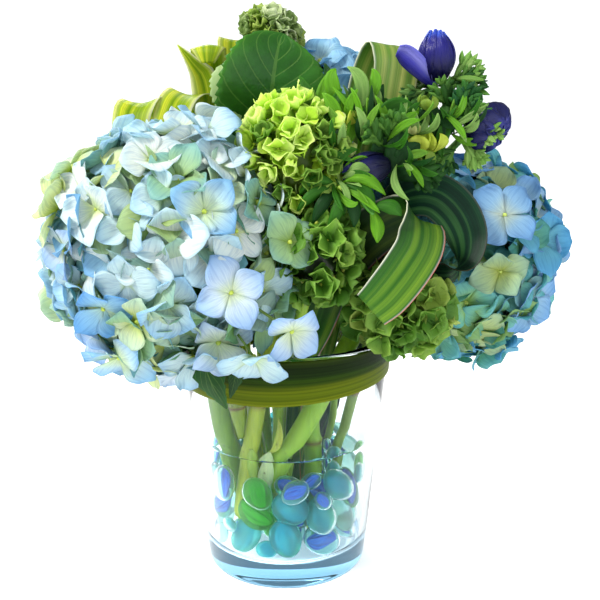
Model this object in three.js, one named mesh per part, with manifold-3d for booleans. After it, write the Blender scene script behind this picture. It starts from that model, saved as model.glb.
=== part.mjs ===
/**
 * Hydrangeas, anemones and looped leaf blades in a flared glass vase, with water and flat glass gems.
 *
 * Units are millimetres. +X is the arrangement's right, +Y its back and +Z up, and the origin is the
 * centre of the vase's foot. Stems run from the gem bed through the mouth to the flower heads.
 */
import * as THREE from "three";
import { mergeVertices } from "three/addons/utils/BufferGeometryUtils.js";
import Module from "manifold-3d";

const wasm = await Module();
wasm.setup();

// ---------------------------------------------------------------- driving dimensions
const FOOT_RADIUS = 48; // outside, at the floor
const RIM_RADIUS = 61.5; // outside, at the rim
const VASE_HEIGHT = 146;
const BASE_THICKNESS = 15;
const WALL = 3.5;
const CORNER = 3; // radius of the foot's and the inner floor's rounded corner
const VASE_SEGMENTS = 40;
const WATER_LEVEL = 82;
const GAP = 0.4; // left between pieces that touch

const BAND_HEIGHT = 27;
const BAND_MIDDLE = 132.5; // height of the band's middle at the vase's axis
const BAND_TILT = THREE.MathUtils.degToRad(2.4); // the band climbs a little towards the right
const BAND_THICKNESS = 1;

const GEM_COUNT = 24;
const GEM_HALF_SIZES = [11.5, 5.4, 9.8]; // half length, half thickness and half width of an oval gem
const GEM_BED_TOP = 66;
const GEM_WALL_CLEARANCE = 1.7; // a flat gem touches the round wall only at its two edges

const COLOURS = {
  glass: [0xe4f2f2, 0.03],
  water: [0xdcf0f4, 0.02],
  band: [0x5a6f1c, 0.45],
  gemBlue: [0x2f6fe0, 0.12],
  gemTeal: [0x35b8c8, 0.15],
  gemGreen: [0x57b84a, 0.2],
  gemClear: [0xbfe4e6, 0.12],
  stem: [0x7fae36, 0.5],
  petalPale: [0xa9cdec, 0.6],
  petalTeal: [0x6aa6cf, 0.6],
  petalLime: [0xb4cc3e, 0.55],
  petalViolet: [0x2b2f9c, 0.5],
  leafDark: [0x2c6b28, 0.45],
  leafBright: [0x5da52c, 0.45],
  blade: [0x7c9c34, 0.4],
};

const UP = new THREE.Vector3(0, 0, 1);

// ---------------------------------------------------------------- general shapes
/** A manifold solid from a closed three.js geometry. */
function solidOf(geometry) {
  const bare = geometry.clone();
  bare.deleteAttribute("normal");
  bare.deleteAttribute("uv");
  const merged = mergeVertices(bare, 1e-3);
  return new wasm.Manifold(
    new wasm.Mesh({
      numProp: 3,
      vertProperties: merged.attributes.position.array,
      triVerts: new Uint32Array(merged.index.array),
    }),
  );
}

/** The three.js geometry of a manifold solid. */
function geometryOf(solid) {
  const mesh = solid.getMesh();
  return new THREE.BufferGeometry()
    .setAttribute("position", new THREE.BufferAttribute(mesh.vertProperties, 3))
    .setIndex(new THREE.BufferAttribute(mesh.triVerts, 1));
}

/** The largest body of a solid, without the crumbs that a cut leaves beside it. */
function largest(solid) {
  return solid.decompose().reduce((a, b) => (a.volume() > b.volume() ? a : b));
}

/** One solid out of several that overlap. */
function joined(solids) {
  return solids.reduce((a, b) => a.add(b));
}

/** A closed geometry out of rings of points, each ring with the same number of points. */
function skin(rings) {
  const sides = rings[0].length;
  const points = rings.flat();
  const faces = [];
  for (let i = 0; i + 1 < rings.length; i++) {
    for (let j = 0; j < sides; j++) {
      const a = i * sides + j;
      const b = i * sides + ((j + 1) % sides);
      faces.push(a, b, a + sides, b, b + sides, a + sides);
    }
  }
  const last = (rings.length - 1) * sides;
  for (let j = 1; j + 1 < sides; j++) {
    faces.push(0, j + 1, j, last, last + j, last + j + 1);
  }
  return new THREE.BufferGeometry().setFromPoints(points).setIndex(faces);
}

/**
 * A stem or a blade: an elliptical section swept along a smooth path.
 * `across` and `thick` give the section's half width and half thickness at each share of the length,
 * `side` is the direction of the width, and `grow` makes the room that a neighbour leaves around it.
 */
function sweep({ path, across, thick, side = [1, 0, 0], steps = 14, sides = 8 }, grow = 0) {
  const curve = new THREE.CatmullRomCurve3(
    path.map((p) => new THREE.Vector3(...p)),
    false,
    "centripetal",
  );
  const width = new THREE.Vector3(...side);
  const rings = [];
  for (let i = 0; i <= steps; i++) {
    const t = i / steps;
    const along = curve.getTangentAt(t);
    const centre = curve.getPointAt(t);
    if (i === 0) centre.addScaledVector(along, -grow);
    if (i === steps) centre.addScaledVector(along, grow);
    const u = width.clone().addScaledVector(along, -width.dot(along)).normalize();
    const v = new THREE.Vector3().crossVectors(along, u);
    const ring = [];
    for (let j = 0; j < sides; j++) {
      const angle = (2 * Math.PI * j) / sides;
      ring.push(
        centre
          .clone()
          .addScaledVector(u, Math.cos(angle) * (across(t) + grow))
          .addScaledVector(v, Math.sin(angle) * (thick(t) + grow)),
      );
    }
    rings.push(ring);
  }
  return solidOf(skin(rings));
}

/** A round stem of nearly constant radius, a little thicker at its foot. */
function stem({ radius, path, steps = 9, sides = 8 }, grow = 0) {
  const taper = (t) => radius * (1.08 - 0.16 * t);
  return sweep({ path, across: taper, thick: taper, steps, sides }, grow);
}

/** A leaf blade on a narrow stalk: `stalk` is the share of the length before the blade opens. */
function blade({ path, side, halfWidth, stalk = 0.35, tip = 0.1, steps = 18 }, grow = 0) {
  const across = (t) => {
    const opened = THREE.MathUtils.smoothstep(t, stalk * 0.75, stalk * 1.3);
    const closed = 1 - (1 - tip) * THREE.MathUtils.smoothstep(t, 0.8, 1);
    return 2 + (halfWidth - 2) * opened * closed;
  };
  const thick = (t) => 1.7 - 1.1 * THREE.MathUtils.smoothstep(t, stalk * 0.7, stalk * 1.3);
  return sweep({ path, side, across, thick, steps, sides: 6 }, grow);
}

/** A round flower head: an ellipsoid with one low dome for each floret on its outside. */
function flowerHead({ centre, radii, florets, relief, detail }) {
  const ball = new THREE.IcosahedronGeometry(1, detail);
  const spacing = Math.sqrt((4 * Math.PI) / florets);
  const golden = Math.PI * (3 - Math.sqrt(5));
  const spots = Array.from({ length: florets }, (_, i) => {
    const z = 1 - (2 * i + 1) / florets;
    const r = Math.sqrt(1 - z * z);
    return new THREE.Vector3(r * Math.cos(golden * i), r * Math.sin(golden * i), z);
  });
  const place = ball.attributes.position;
  const point = new THREE.Vector3();
  for (let i = 0; i < place.count; i++) {
    point.fromBufferAttribute(place, i).normalize();
    const nearest = Math.min(...spots.map((s) => s.angleTo(point)));
    const dome = Math.cos(Math.min(1, nearest / spacing) * (Math.PI / 2));
    point.multiplyScalar(1 - relief * (1 - dome));
    place.setXYZ(i, ...point.multiply(new THREE.Vector3(...radii)).toArray());
  }
  return solidOf(ball).translate(centre);
}

/** The smooth room that a flower head takes up, which the larger heads beside it give way to. */
function headRoom({ centre, radii }) {
  const room = new THREE.IcosahedronGeometry(1, 3);
  room.scale(...radii.map((r) => r * 1.02 + GAP));
  return solidOf(room).translate(centre);
}

/** A closed cup of petals: an egg with one lobe for each petal, standing on `base` along `axis`. */
function petalCup({ base, axis, radius, height, petals }) {
  const egg = new THREE.SphereGeometry(1, 12, 7);
  const place = egg.attributes.position;
  for (let i = 0; i < place.count; i++) {
    const [x, y, z] = [place.getX(i), place.getY(i), place.getZ(i)];
    const turn = Math.atan2(z, x);
    const lobe = 1 + 0.07 * Math.hypot(x, z) * Math.cos(petals * turn);
    const belly = 1 - 0.22 * y;
    place.setXYZ(i, x * radius * lobe * belly, ((y + 1) * height) / 2, z * radius * lobe * belly);
  }
  const turn = new THREE.Quaternion().setFromUnitVectors(
    new THREE.Vector3(0, 1, 0),
    new THREE.Vector3(...axis).normalize(),
  );
  egg.applyQuaternion(turn);
  egg.translate(...base);
  return solidOf(egg);
}

/** A whorl of narrow leaflets round a stalk at `centre`, in the plane square to `axis`. */
function whorl({ centre, axis, leaflets, length, halfWidth, rise, droop }) {
  const turn = new THREE.Quaternion().setFromUnitVectors(UP, new THREE.Vector3(...axis).normalize());
  const middle = new THREE.Vector3(...centre);
  const place = (x, y, z) => new THREE.Vector3(x, y, z).applyQuaternion(turn).add(middle).toArray();
  const parts = [solidOf(new THREE.SphereGeometry(3, 6, 4)).translate(centre)];
  for (let k = 0; k < leaflets; k++) {
    const angle = (2 * Math.PI * k) / leaflets;
    const reach = length * (1 - 0.22 * (k % 3));
    const at = (share, lift) =>
      place(Math.cos(angle) * reach * share, Math.sin(angle) * reach * share, lift);
    const side = new THREE.Vector3(-Math.sin(angle), Math.cos(angle), 0).applyQuaternion(turn);
    parts.push(
      sweep({
        path: [at(0.02, 0), at(0.45, rise), at(1, rise + droop)],
        side: side.toArray(),
        across: (t) => 0.5 + halfWidth * Math.sin(Math.PI * (0.12 + 0.88 * t)),
        thick: () => 0.6,
        steps: 2,
        sides: 4,
      }),
    );
  }
  return joined(parts);
}

// ---------------------------------------------------------------- vase, water and leaf band
/** The vase's outside radius at a height. */
function outerRadius(z) {
  return FOOT_RADIUS + ((RIM_RADIUS - FOOT_RADIUS) * z) / VASE_HEIGHT;
}

/** A quarter circle of profile points round (x, z), from one angle to the other. */
function arc(x, z, radius, from, to, count = 3) {
  return Array.from({ length: count + 1 }, (_, i) => {
    const angle = from + ((to - from) * i) / count;
    return new THREE.Vector2(x + radius * Math.cos(angle), z + radius * Math.sin(angle));
  });
}

/** A solid of revolution about +Z from profile points that run from the axis round to the axis. */
function turned(profile) {
  const lathe = new THREE.LatheGeometry(profile, VASE_SEGMENTS);
  lathe.rotateX(Math.PI / 2);
  return solidOf(lathe);
}

function vase() {
  const half = Math.PI / 2;
  const lip = WALL / 2;
  return turned([
    new THREE.Vector2(0, 0),
    ...arc(outerRadius(0) - CORNER, CORNER, CORNER, -half, 0),
    ...arc(RIM_RADIUS - lip, VASE_HEIGHT - lip, lip, 0, Math.PI, 4),
    ...arc(outerRadius(BASE_THICKNESS) - WALL - CORNER, BASE_THICKNESS + CORNER, CORNER, 0, -half),
    new THREE.Vector2(0, BASE_THICKNESS),
  ]);
}

/** The clear water above the gems, with a way through for every stem. */
function water(stems) {
  const inside = (z) => outerRadius(z) - WALL - GAP;
  const body = turned([
    new THREE.Vector2(0, GEM_BED_TOP),
    new THREE.Vector2(inside(GEM_BED_TOP), GEM_BED_TOP),
    new THREE.Vector2(inside(WATER_LEVEL), WATER_LEVEL),
    new THREE.Vector2(0, WATER_LEVEL),
  ]);
  return largest(stems.reduce((left, s) => left.subtract(s), body));
}

/** A broad leaf wrapped once round the vase under its rim, tilted a little. */
function leafBand(grow = 0) {
  const ring = (offset, z) => {
    const points = [];
    for (let j = 0; j < VASE_SEGMENTS; j++) {
      const angle = (2 * Math.PI * j) / VASE_SEGMENTS;
      const height = z + Math.tan(BAND_TILT) * RIM_RADIUS * Math.cos(angle);
      const radius = outerRadius(height) + offset;
      points.push(new THREE.Vector3(radius * Math.cos(angle), radius * Math.sin(angle), height));
    }
    return points;
  };
  const low = BAND_MIDDLE - BAND_HEIGHT / 2 - grow;
  const high = BAND_MIDDLE + BAND_HEIGHT / 2 + grow;
  const outer = GAP + BAND_THICKNESS + grow;
  const shell = solidOf(skin([ring(outer, low), ring(outer + 0.4, BAND_MIDDLE), ring(outer, high)]));
  const hollow = solidOf(skin([ring(GAP - grow, low - 1), ring(GAP - grow, high + 1)]));
  return shell.subtract(hollow);
}

/** The room that the vase and its band need, which the flower heads are cut away from. */
function vaseRoom() {
  const clear = BAND_THICKNESS + 3 * GAP;
  const top = VASE_HEIGHT + 3.5;
  return turned([
    new THREE.Vector2(0, 0),
    new THREE.Vector2(FOOT_RADIUS + clear, 0),
    new THREE.Vector2(outerRadius(top) + clear, top),
    new THREE.Vector2(0, top),
  ]);
}

// ---------------------------------------------------------------- glass gems
/** A repeatable row of numbers from 0 to 1. */
function numbers(seed) {
  let state = seed;
  return () => {
    state = (state * 1664525 + 1013904223) % 4294967296;
    return state / 4294967296;
  };
}

/** An oval gem that leans against the wall at an angle round the vase and a height. */
function gemAt({ angle, z, inset, lean, roll, yaw }) {
  const [a, b, c] = GEM_HALF_SIZES;
  const turn = new THREE.Euler(-lean, 0, angle + Math.PI / 2 + yaw, "ZXY");
  const pose = new THREE.Quaternion()
    .setFromEuler(turn)
    .multiply(new THREE.Quaternion().setFromAxisAngle(new THREE.Vector3(0, 1, 0), roll));
  const out = new THREE.Vector3(Math.cos(angle), Math.sin(angle), 0);
  const outHere = out.clone().applyQuaternion(pose.clone().invert());
  const reach = Math.hypot(a * outHere.x, b * outHere.y, c * outHere.z);
  const upHere = UP.clone().applyQuaternion(pose.clone().invert());
  const drop = Math.hypot(a * upHere.x, b * upHere.y, c * upHere.z);
  const centre = out.multiplyScalar(outerRadius(z) - WALL - reach - GEM_WALL_CLEARANCE - inset);
  centre.z = z + drop;
  const gem = new THREE.SphereGeometry(1, 10, 6);
  gem.scale(a, b, c);
  gem.applyQuaternion(pose);
  gem.translate(centre.x, centre.y, centre.z);
  return { solid: solidOf(gem), top: centre.z + drop };
}

/** The gems, filled in from the floor up wherever one fits between its neighbours and the stems. */
function gems(stems) {
  const random = numbers(11);
  const taken = [...stems];
  const kinds = ["gemBlue", "gemTeal", "gemClear", "gemBlue", "gemGreen", "gemTeal"];
  const made = [];
  for (let z = BASE_THICKNESS + 1; z < GEM_BED_TOP; z += 0.5) {
    for (let attempt = 0; attempt < 60 && made.length < GEM_COUNT; attempt++) {
      const { solid, top } = gemAt({
        angle: 2 * Math.PI * random(),
        z,
        inset: 12 * random() ** 2,
        lean: THREE.MathUtils.degToRad(5 + 60 * random() ** 2),
        roll: Math.PI * random(),
        yaw: THREE.MathUtils.degToRad(30 * (random() - 0.5)),
      });
      if (top > GEM_BED_TOP - GAP || taken.some((t) => t.intersect(solid).volume() > 0)) continue;
      taken.push(solid);
      const number = String(made.length + 1).padStart(2, "0");
      made.push({ name: `glass_gem_${number}`, solid, colour: kinds[made.length % kinds.length] });
    }
  }
  return made;
}

// ---------------------------------------------------------------- what grows
const HEADS = {
  green_upper_head: {
    centre: [5, -36, 248], radii: [25, 22, 31], florets: 40, relief: 0.13, detail: 3, colour: "petalLime",
  },
  green_lower_head: {
    centre: [15, -48, 199], radii: [21, 15, 25], florets: 24, relief: 0.14, detail: 2, colour: "petalLime",
  },
  green_right_head: {
    centre: [62, -36, 170], radii: [27, 18, 26], florets: 24, relief: 0.14, detail: 2, colour: "petalLime",
  },
  green_top_head: {
    centre: [-10, 40, 309], radii: [17, 15, 16], florets: 20, relief: 0.14, detail: 2, colour: "petalLime",
  },
  hydrangea_right_head: {
    centre: [105, 24, 182], radii: [60, 56, 66], florets: 52, relief: 0.12, detail: 5, colour: "petalTeal",
  },
  hydrangea_back_head: {
    centre: [20, 60, 246], radii: [56, 45, 57], florets: 48, relief: 0.12, detail: 4, colour: "petalTeal",
  },
  hydrangea_left_head: {
    centre: [-60, -34, 199], radii: [72, 66, 74], florets: 64, relief: 0.12, detail: 6, colour: "petalPale",
  },
};

const STEMS = {
  hydrangea_left_stem: {
    radius: 6, path: [[-22, -5, 20], [-31, -8, 58], [-41, -15, 112], [-44, -19, 148], [-55, -26, 172]],
  },
  hydrangea_right_stem: {
    radius: 5.7, path: [[-15, -21, 44], [0, -24, 75], [21, -22, 110], [42, -6, 146], [76, 17, 174]],
  },
  hydrangea_back_stem: {
    radius: 5, path: [[17, -8, 20], [16, -6, 67], [14, -3, 110], [16, 14, 150], [25, 52, 222]],
  },
  green_upper_stem: {
    radius: 4.2, path: [[-25, -26, 38], [-23, -24, 58], [-15, -21, 110], [-6, -24, 150], [-2, -24, 190], [4, -33, 232]],
  },
  green_lower_stem: {
    radius: 3, path: [[-6, -4, 20], [-5, -8, 80], [0, -28, 140], [9, -42, 165], [14, -47, 184]],
  },
  green_right_stem: {
    radius: 3, path: [[26, 4, 20], [34, 2, 75], [44, -14, 120], [48, -25, 148], [57, -36, 162]],
  },
  green_top_stem: {
    radius: 3, path: [[-9, 14, 20], [-13, 20, 70], [-16, 30, 146], [-14, 40, 230], [-10, 40, 300]],
  },
};

const BLADES = {
  leaf_loop_front: {
    side: [-0.7, 0.15, 0.65], halfWidth: 11, stalk: 0.36,
    path: [[6, -6, 20], [4, -7, 80], [8, -16, 120], [14, -30, 150], [27, -34, 193], [50, -40, 213],
      [66, -48, 222], [68, -60, 212], [58, -66, 190], [45, -66, 172]],
  },
  leaf_loop_right: {
    side: [0.45, 0.7, 0.5], halfWidth: 11, stalk: 0.4,
    path: [[14, 26, 20], [26, 30, 70], [48, 22, 146], [56, 2, 196], [66, -14, 230], [86, -18, 234],
      [102, -26, 220], [101, -38, 202], [90, -42, 192], [78, -40, 190]],
  },
  leaf_loop_top: {
    side: [0.9, 0.35, 0.1], halfWidth: 13, stalk: 0.4,
    path: [[6, 6, 20], [12, 10, 70], [29, 13, 146], [38, 16, 225], [43, 20, 275], [49, 16, 301],
      [56, 5, 292], [57, -3, 272], [57, -7, 256]],
  },
  leaf_loop_left_outer: {
    side: [0.75, 0.5, 0.35], halfWidth: 10, stalk: 0.42,
    path: [[-24, 6, 20], [-30, 14, 70], [-42, 28, 146], [-72, 46, 230], [-80, 30, 268], [-84, 14, 268],
      [-84, 8, 244]],
  },
  leaf_loop_left_inner: {
    side: [0.85, 0.35, 0.3], halfWidth: 10, stalk: 0.42,
    path: [[-18, 16, 20], [-24, 26, 70], [-30, 42, 146], [-52, 56, 230], [-57, 46, 274], [-59, 32, 277],
      [-58, 26, 254]],
  },
  leaf_loop_left_top: {
    side: [0.9, 0.4, 0], halfWidth: 10, stalk: 0.42,
    path: [[-2, 23, 20], [-5, 32, 70], [-14, 50, 146], [-30, 60, 240], [-30, 54, 296], [-28, 40, 311],
      [-30, 28, 294]],
  },
  leaf_blade_left: {
    side: [0.85, -0.5, 0.1], halfWidth: 8, stalk: 0.45,
    path: [[-14, 2, 20], [-18, 6, 70], [-30, 10, 146], [-44, 16, 230], [-44, 13, 268], [-57, 12, 302]],
  },
};

const LEAVES = {
  hydrangea_leaf_top: {
    side: [1, 0.1, 0], halfWidth: 34,
    path: [[-10, 34, 226], [-4, 14, 240], [-8, 4, 270], [-9, 10, 310]],
  },
  hydrangea_leaf_side: {
    side: [0.5, 0.3, 0.8], halfWidth: 12,
    path: [[4, -12, 212], [-10, -16, 234], [-22, -14, 246], [-38, -6, 262]],
  },
  hydrangea_leaf_rim: {
    side: [0.85, -0.45, 0.1], halfWidth: 13,
    path: [[-32, -28, 153], [-37, -48, 156], [-43, -65, 147], [-33, -71, 124]],
  },
};

/** A broad oval leaf on a short stalk. */
function ovalLeaf({ path, side, halfWidth }, grow = 0) {
  const opening = (t) => Math.sin(Math.PI * THREE.MathUtils.clamp((t - 0.12) / 0.88, 0, 1));
  const across = (t) => 1 + halfWidth * opening(t) ** 0.8;
  return sweep({ path, side, across, thick: (t) => 1 - 0.4 * t, steps: 11, sides: 6 }, grow);
}

// Each anemone's stem carries a whorl of finely cut leaves just under its flower.
const ANEMONES = {
  anemone_top: {
    flower: { base: [84, 0, 288], axis: [0, 0, 1], radius: 10, height: 28, petals: 6 },
    stem: [[8, 32, 20], [12, 36, 70], [34, 36, 146], [62, 28, 220], [84, 0, 287]],
    collar: { centre: [83, 0, 281], axis: [0, 0, 1], leaflets: 6, length: 26, halfWidth: 3.5, rise: 3, droop: 2 },
  },
  anemone_right: {
    flower: { base: [112, -6, 264], axis: [0.4, 0, -0.25], radius: 13, height: 24, petals: 6 },
    stem: [[20, 14, 20], [28, 18, 70], [37, 8, 146], [42, 0, 180], [62, 14, 215], [90, 5, 245], [108, -5, 266]],
    collar: { centre: [102, -4, 260], axis: [0.7, 0, -0.3], leaflets: 6, length: 24, halfWidth: 3.5, rise: 0, droop: -3 },
  },
  anemone_centre: {
    flower: { base: [52, -34, 246], axis: [-0.85, -0.2, -0.2], radius: 9, height: 20, petals: 6 },
    stem: [[0, 14, 20], [0, 12, 70], [6, 2, 146], [30, -8, 210], [55, -31, 247]],
    collar: { centre: [55, -29, 246], axis: [0.8, 0.3, 0.2], leaflets: 5, length: 20, halfWidth: 5, rise: 2, droop: 2 },
  },
};

const SPRAYS = {
  foliage_centre: {
    centre: [34, -14, 262], axis: [0, -0.2, 1], leaflets: 6, length: 26, halfWidth: 4, rise: 18, droop: 8,
  },
  foliage_front: {
    centre: [40, -60, 231], axis: [0, -1, 0.2], leaflets: 6, length: 20, halfWidth: 4, rise: 2, droop: -3,
  },
};

// ---------------------------------------------------------------- assembly
/** Every piece as {name, solid, colour}: what grows comes first, and each head leaves room for it. */
function pieces() {
  const list = [];
  const add = (name, solid, colour) => list.push({ name, solid, colour });
  const passages = [];

  for (const [name, s] of Object.entries(STEMS)) {
    add(name, stem(s), "stem");
    passages.push(stem(s, GAP));
  }
  for (const [name, b] of Object.entries(BLADES)) {
    add(name, blade(b), "blade");
    passages.push(blade(b, GAP));
  }
  for (const [name, a] of Object.entries(ANEMONES)) {
    const stalk = { radius: 2.2, path: a.stem, steps: 12, sides: 6 };
    add(`${name}_stem`, stem(stalk).add(whorl(a.collar)), "stem");
    add(`${name}_flower`, petalCup(a.flower), "petalViolet");
    passages.push(stem(stalk, GAP));
  }
  for (const [name, l] of Object.entries(LEAVES)) {
    add(name, ovalLeaf(l), "leafDark");
    passages.push(ovalLeaf(l, GAP));
  }
  for (const [name, s] of Object.entries(SPRAYS)) add(name, whorl(s), "leafBright");

  const rooms = [vaseRoom(), ...passages];
  for (const [name, head] of Object.entries(HEADS)) {
    const cut = rooms.reduce((left, cutter) => left.subtract(cutter), flowerHead(head));
    add(name, largest(cut), head.colour);
    rooms.push(headRoom(head));
  }
  add("vase", vase(), "glass");
  add("water", water(passages), "water");
  add("leaf_band", leafBand(), "band");
  gems(passages).forEach((g) => add(g.name, g.solid, g.colour));
  return list;
}

const arrangement = new THREE.Group();
for (const { name, solid, colour } of pieces()) {
  const [color, roughness] = COLOURS[colour];
  const clear = colour === "glass" || colour === "water";
  const material = new THREE.MeshStandardMaterial({
    color,
    roughness,
    metalness: 0,
    transparent: clear,
    opacity: clear ? 0.35 : 1,
  });
  const mesh = new THREE.Mesh(geometryOf(solid), material);
  mesh.name = name;
  arrangement.add(mesh);
}

export default arrangement;
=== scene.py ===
"""Hydrangeas, anemones and looped leaf blades in a flared glass vase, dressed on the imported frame.

Every sub-assembly is a class that holds its sizes in millimetres, builds its meshes in metres and dresses
them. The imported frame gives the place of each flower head, gem and vase part.
"""

from __future__ import annotations

import logging
import math
from dataclasses import dataclass, field
from enum import Enum
from typing import Sequence

import bmesh
import bpy
import numpy as np
from mathutils import Euler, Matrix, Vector

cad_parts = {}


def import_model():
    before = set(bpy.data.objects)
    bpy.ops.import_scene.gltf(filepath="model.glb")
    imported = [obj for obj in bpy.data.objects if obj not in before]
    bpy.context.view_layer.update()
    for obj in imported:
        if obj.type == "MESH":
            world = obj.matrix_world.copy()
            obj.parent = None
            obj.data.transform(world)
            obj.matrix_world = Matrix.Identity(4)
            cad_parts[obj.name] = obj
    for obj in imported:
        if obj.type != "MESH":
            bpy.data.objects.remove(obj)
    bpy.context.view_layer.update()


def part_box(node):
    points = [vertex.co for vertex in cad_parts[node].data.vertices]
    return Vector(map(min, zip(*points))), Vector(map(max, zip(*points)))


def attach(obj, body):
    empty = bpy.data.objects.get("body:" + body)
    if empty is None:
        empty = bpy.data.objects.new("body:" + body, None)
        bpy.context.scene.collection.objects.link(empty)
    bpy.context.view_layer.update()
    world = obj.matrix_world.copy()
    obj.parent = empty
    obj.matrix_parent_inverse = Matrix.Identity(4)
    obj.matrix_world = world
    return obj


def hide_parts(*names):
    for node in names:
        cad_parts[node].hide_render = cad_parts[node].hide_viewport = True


LOG = logging.getLogger("flowers")
BODY = "root"
MM = 0.001
UP = np.array([0.0, 0.0, 1.0])
Array = np.ndarray
Random = np.random.Generator
Material = bpy.types.Material
Node = bpy.types.Node
Socket = bpy.types.NodeSocket
Piece = bpy.types.Object
Point = tuple[float, float, float]
Colour = tuple[float, float, float]
Rgb = tuple[int, int, int]
Route = Sequence[tuple[float, ...]]
Axes = tuple[Array, Array, Array]
Gem = tuple[Array, Array, Array]


# --- numbers and colours
def unit(vectors: Array) -> Array:
    """Vectors scaled to a length of one."""
    return vectors / np.maximum(np.linalg.norm(vectors, axis=-1, keepdims=True), 1e-12)


def smooth(low: float, high: float, value: Array) -> Array:
    """A soft step from 0 at low to 1 at high."""
    t = np.clip((value - low) / (high - low), 0.0, 1.0)
    return t * t * (3.0 - 2.0 * t)


def mix(a: Array, b: Array, share: Array) -> Array:
    """Colours or places between a and b, with share spread over their last axis."""
    share = np.asarray(share)[..., None]
    return np.asarray(a) * (1.0 - share) + np.asarray(b) * share


def paint(red: int, green: int, blue: int) -> Array:
    """A screen colour from 0 to 255 as a linear one."""
    c = np.array([red, green, blue]) / 255.0
    return np.where(c <= 0.04045, c / 12.92, ((c + 0.055) / 1.055) ** 2.4)


def spline(rows: Array, count: int) -> Array:
    """Evenly spaced rows on a smooth curve through the given rows.

    Args:
        rows: one row for each knot, with its place in the first three columns.
        count: how many rows to return.

    Returns:
        The rows, spaced evenly along the curve's length.
    """
    knots = np.vstack([2 * rows[0] - rows[1], rows, 2 * rows[-1] - rows[-2]])
    t = np.linspace(0, len(rows) - 1 - 1e-9, 12 * len(rows))
    i = t.astype(int)
    f = (t - i)[:, None]
    a, b, c, d = knots[i], knots[i + 1], knots[i + 2], knots[i + 3]
    fine = 0.5 * (2 * b + (c - a) * f + (2 * a - 5 * b + 4 * c - d) * f**2 + (3 * b - a - 3 * c + d) * f**3)
    run = np.concatenate([[0], np.cumsum(np.linalg.norm(np.diff(fine[:, :3], axis=0), axis=1))])
    even = np.linspace(0, run[-1], count)
    return np.stack([np.interp(even, run, column) for column in fine.T], axis=1)


def frame_of(direction: Array, hint: Array = UP) -> Axes:
    """Two unit vectors square to a direction, and the direction itself.

    Args:
        direction: the third axis.
        hint: a vector that the second axis leans towards.

    Returns:
        The first, second and third axes.
    """
    third = unit(direction)
    if abs(float(third @ unit(hint))) > 0.97:
        hint = np.array([1.0, 0.2, 0.0])
    first = unit(np.cross(hint, third))
    return first, np.cross(third, first), third


def circle(a: Array, b: Array, count: int) -> Array:
    """Places evenly round a circle of radius one that holds the directions a and b."""
    turn = np.linspace(0, 2 * math.pi, count, endpoint=False)
    return np.cos(turn)[:, None] * a + np.sin(turn)[:, None] * b


def ball(count: int) -> Array:
    """Places spread evenly over a ball of radius one.

    Args:
        count: how many.

    Returns:
        The places, in a spiral from the top to the bottom.
    """
    i = np.arange(count)
    z = 1 - (2 * i + 1) / count
    turn = i * math.pi * (3 - math.sqrt(5))
    flat = np.sqrt(1 - z**2)
    return np.stack([flat * np.cos(turn), flat * np.sin(turn), z], -1)


def rail(knots: Route, count: int) -> tuple[Array, Array, Array, Array]:
    """The middle line of a strap or leaf.

    Args:
        knots: (x, y, z, side x, side y, side z, half width) at each knot, in millimetres.
        count: how many rows to return.

    Returns:
        Place in metres, width direction, face direction and half width in millimetres, for each row.
    """
    rows = spline(np.array(knots, float), count)
    path = rows[:, :3] * MM
    along = unit(np.gradient(path, axis=0))
    side = rows[:, 3:6]
    side = unit(side - along * np.sum(side * along, axis=1, keepdims=True))
    return path, side, np.cross(side, along), rows[:, 6:7]


def placed(name: str, data: bpy.types.ID) -> Piece:
    """A new object, linked to the scene.

    Args:
        name: its name.
        data: its mesh, lamp or camera.

    Returns:
        The object.
    """
    piece = bpy.data.objects.new(name, data)
    bpy.context.scene.collection.objects.link(piece)
    return piece


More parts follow.
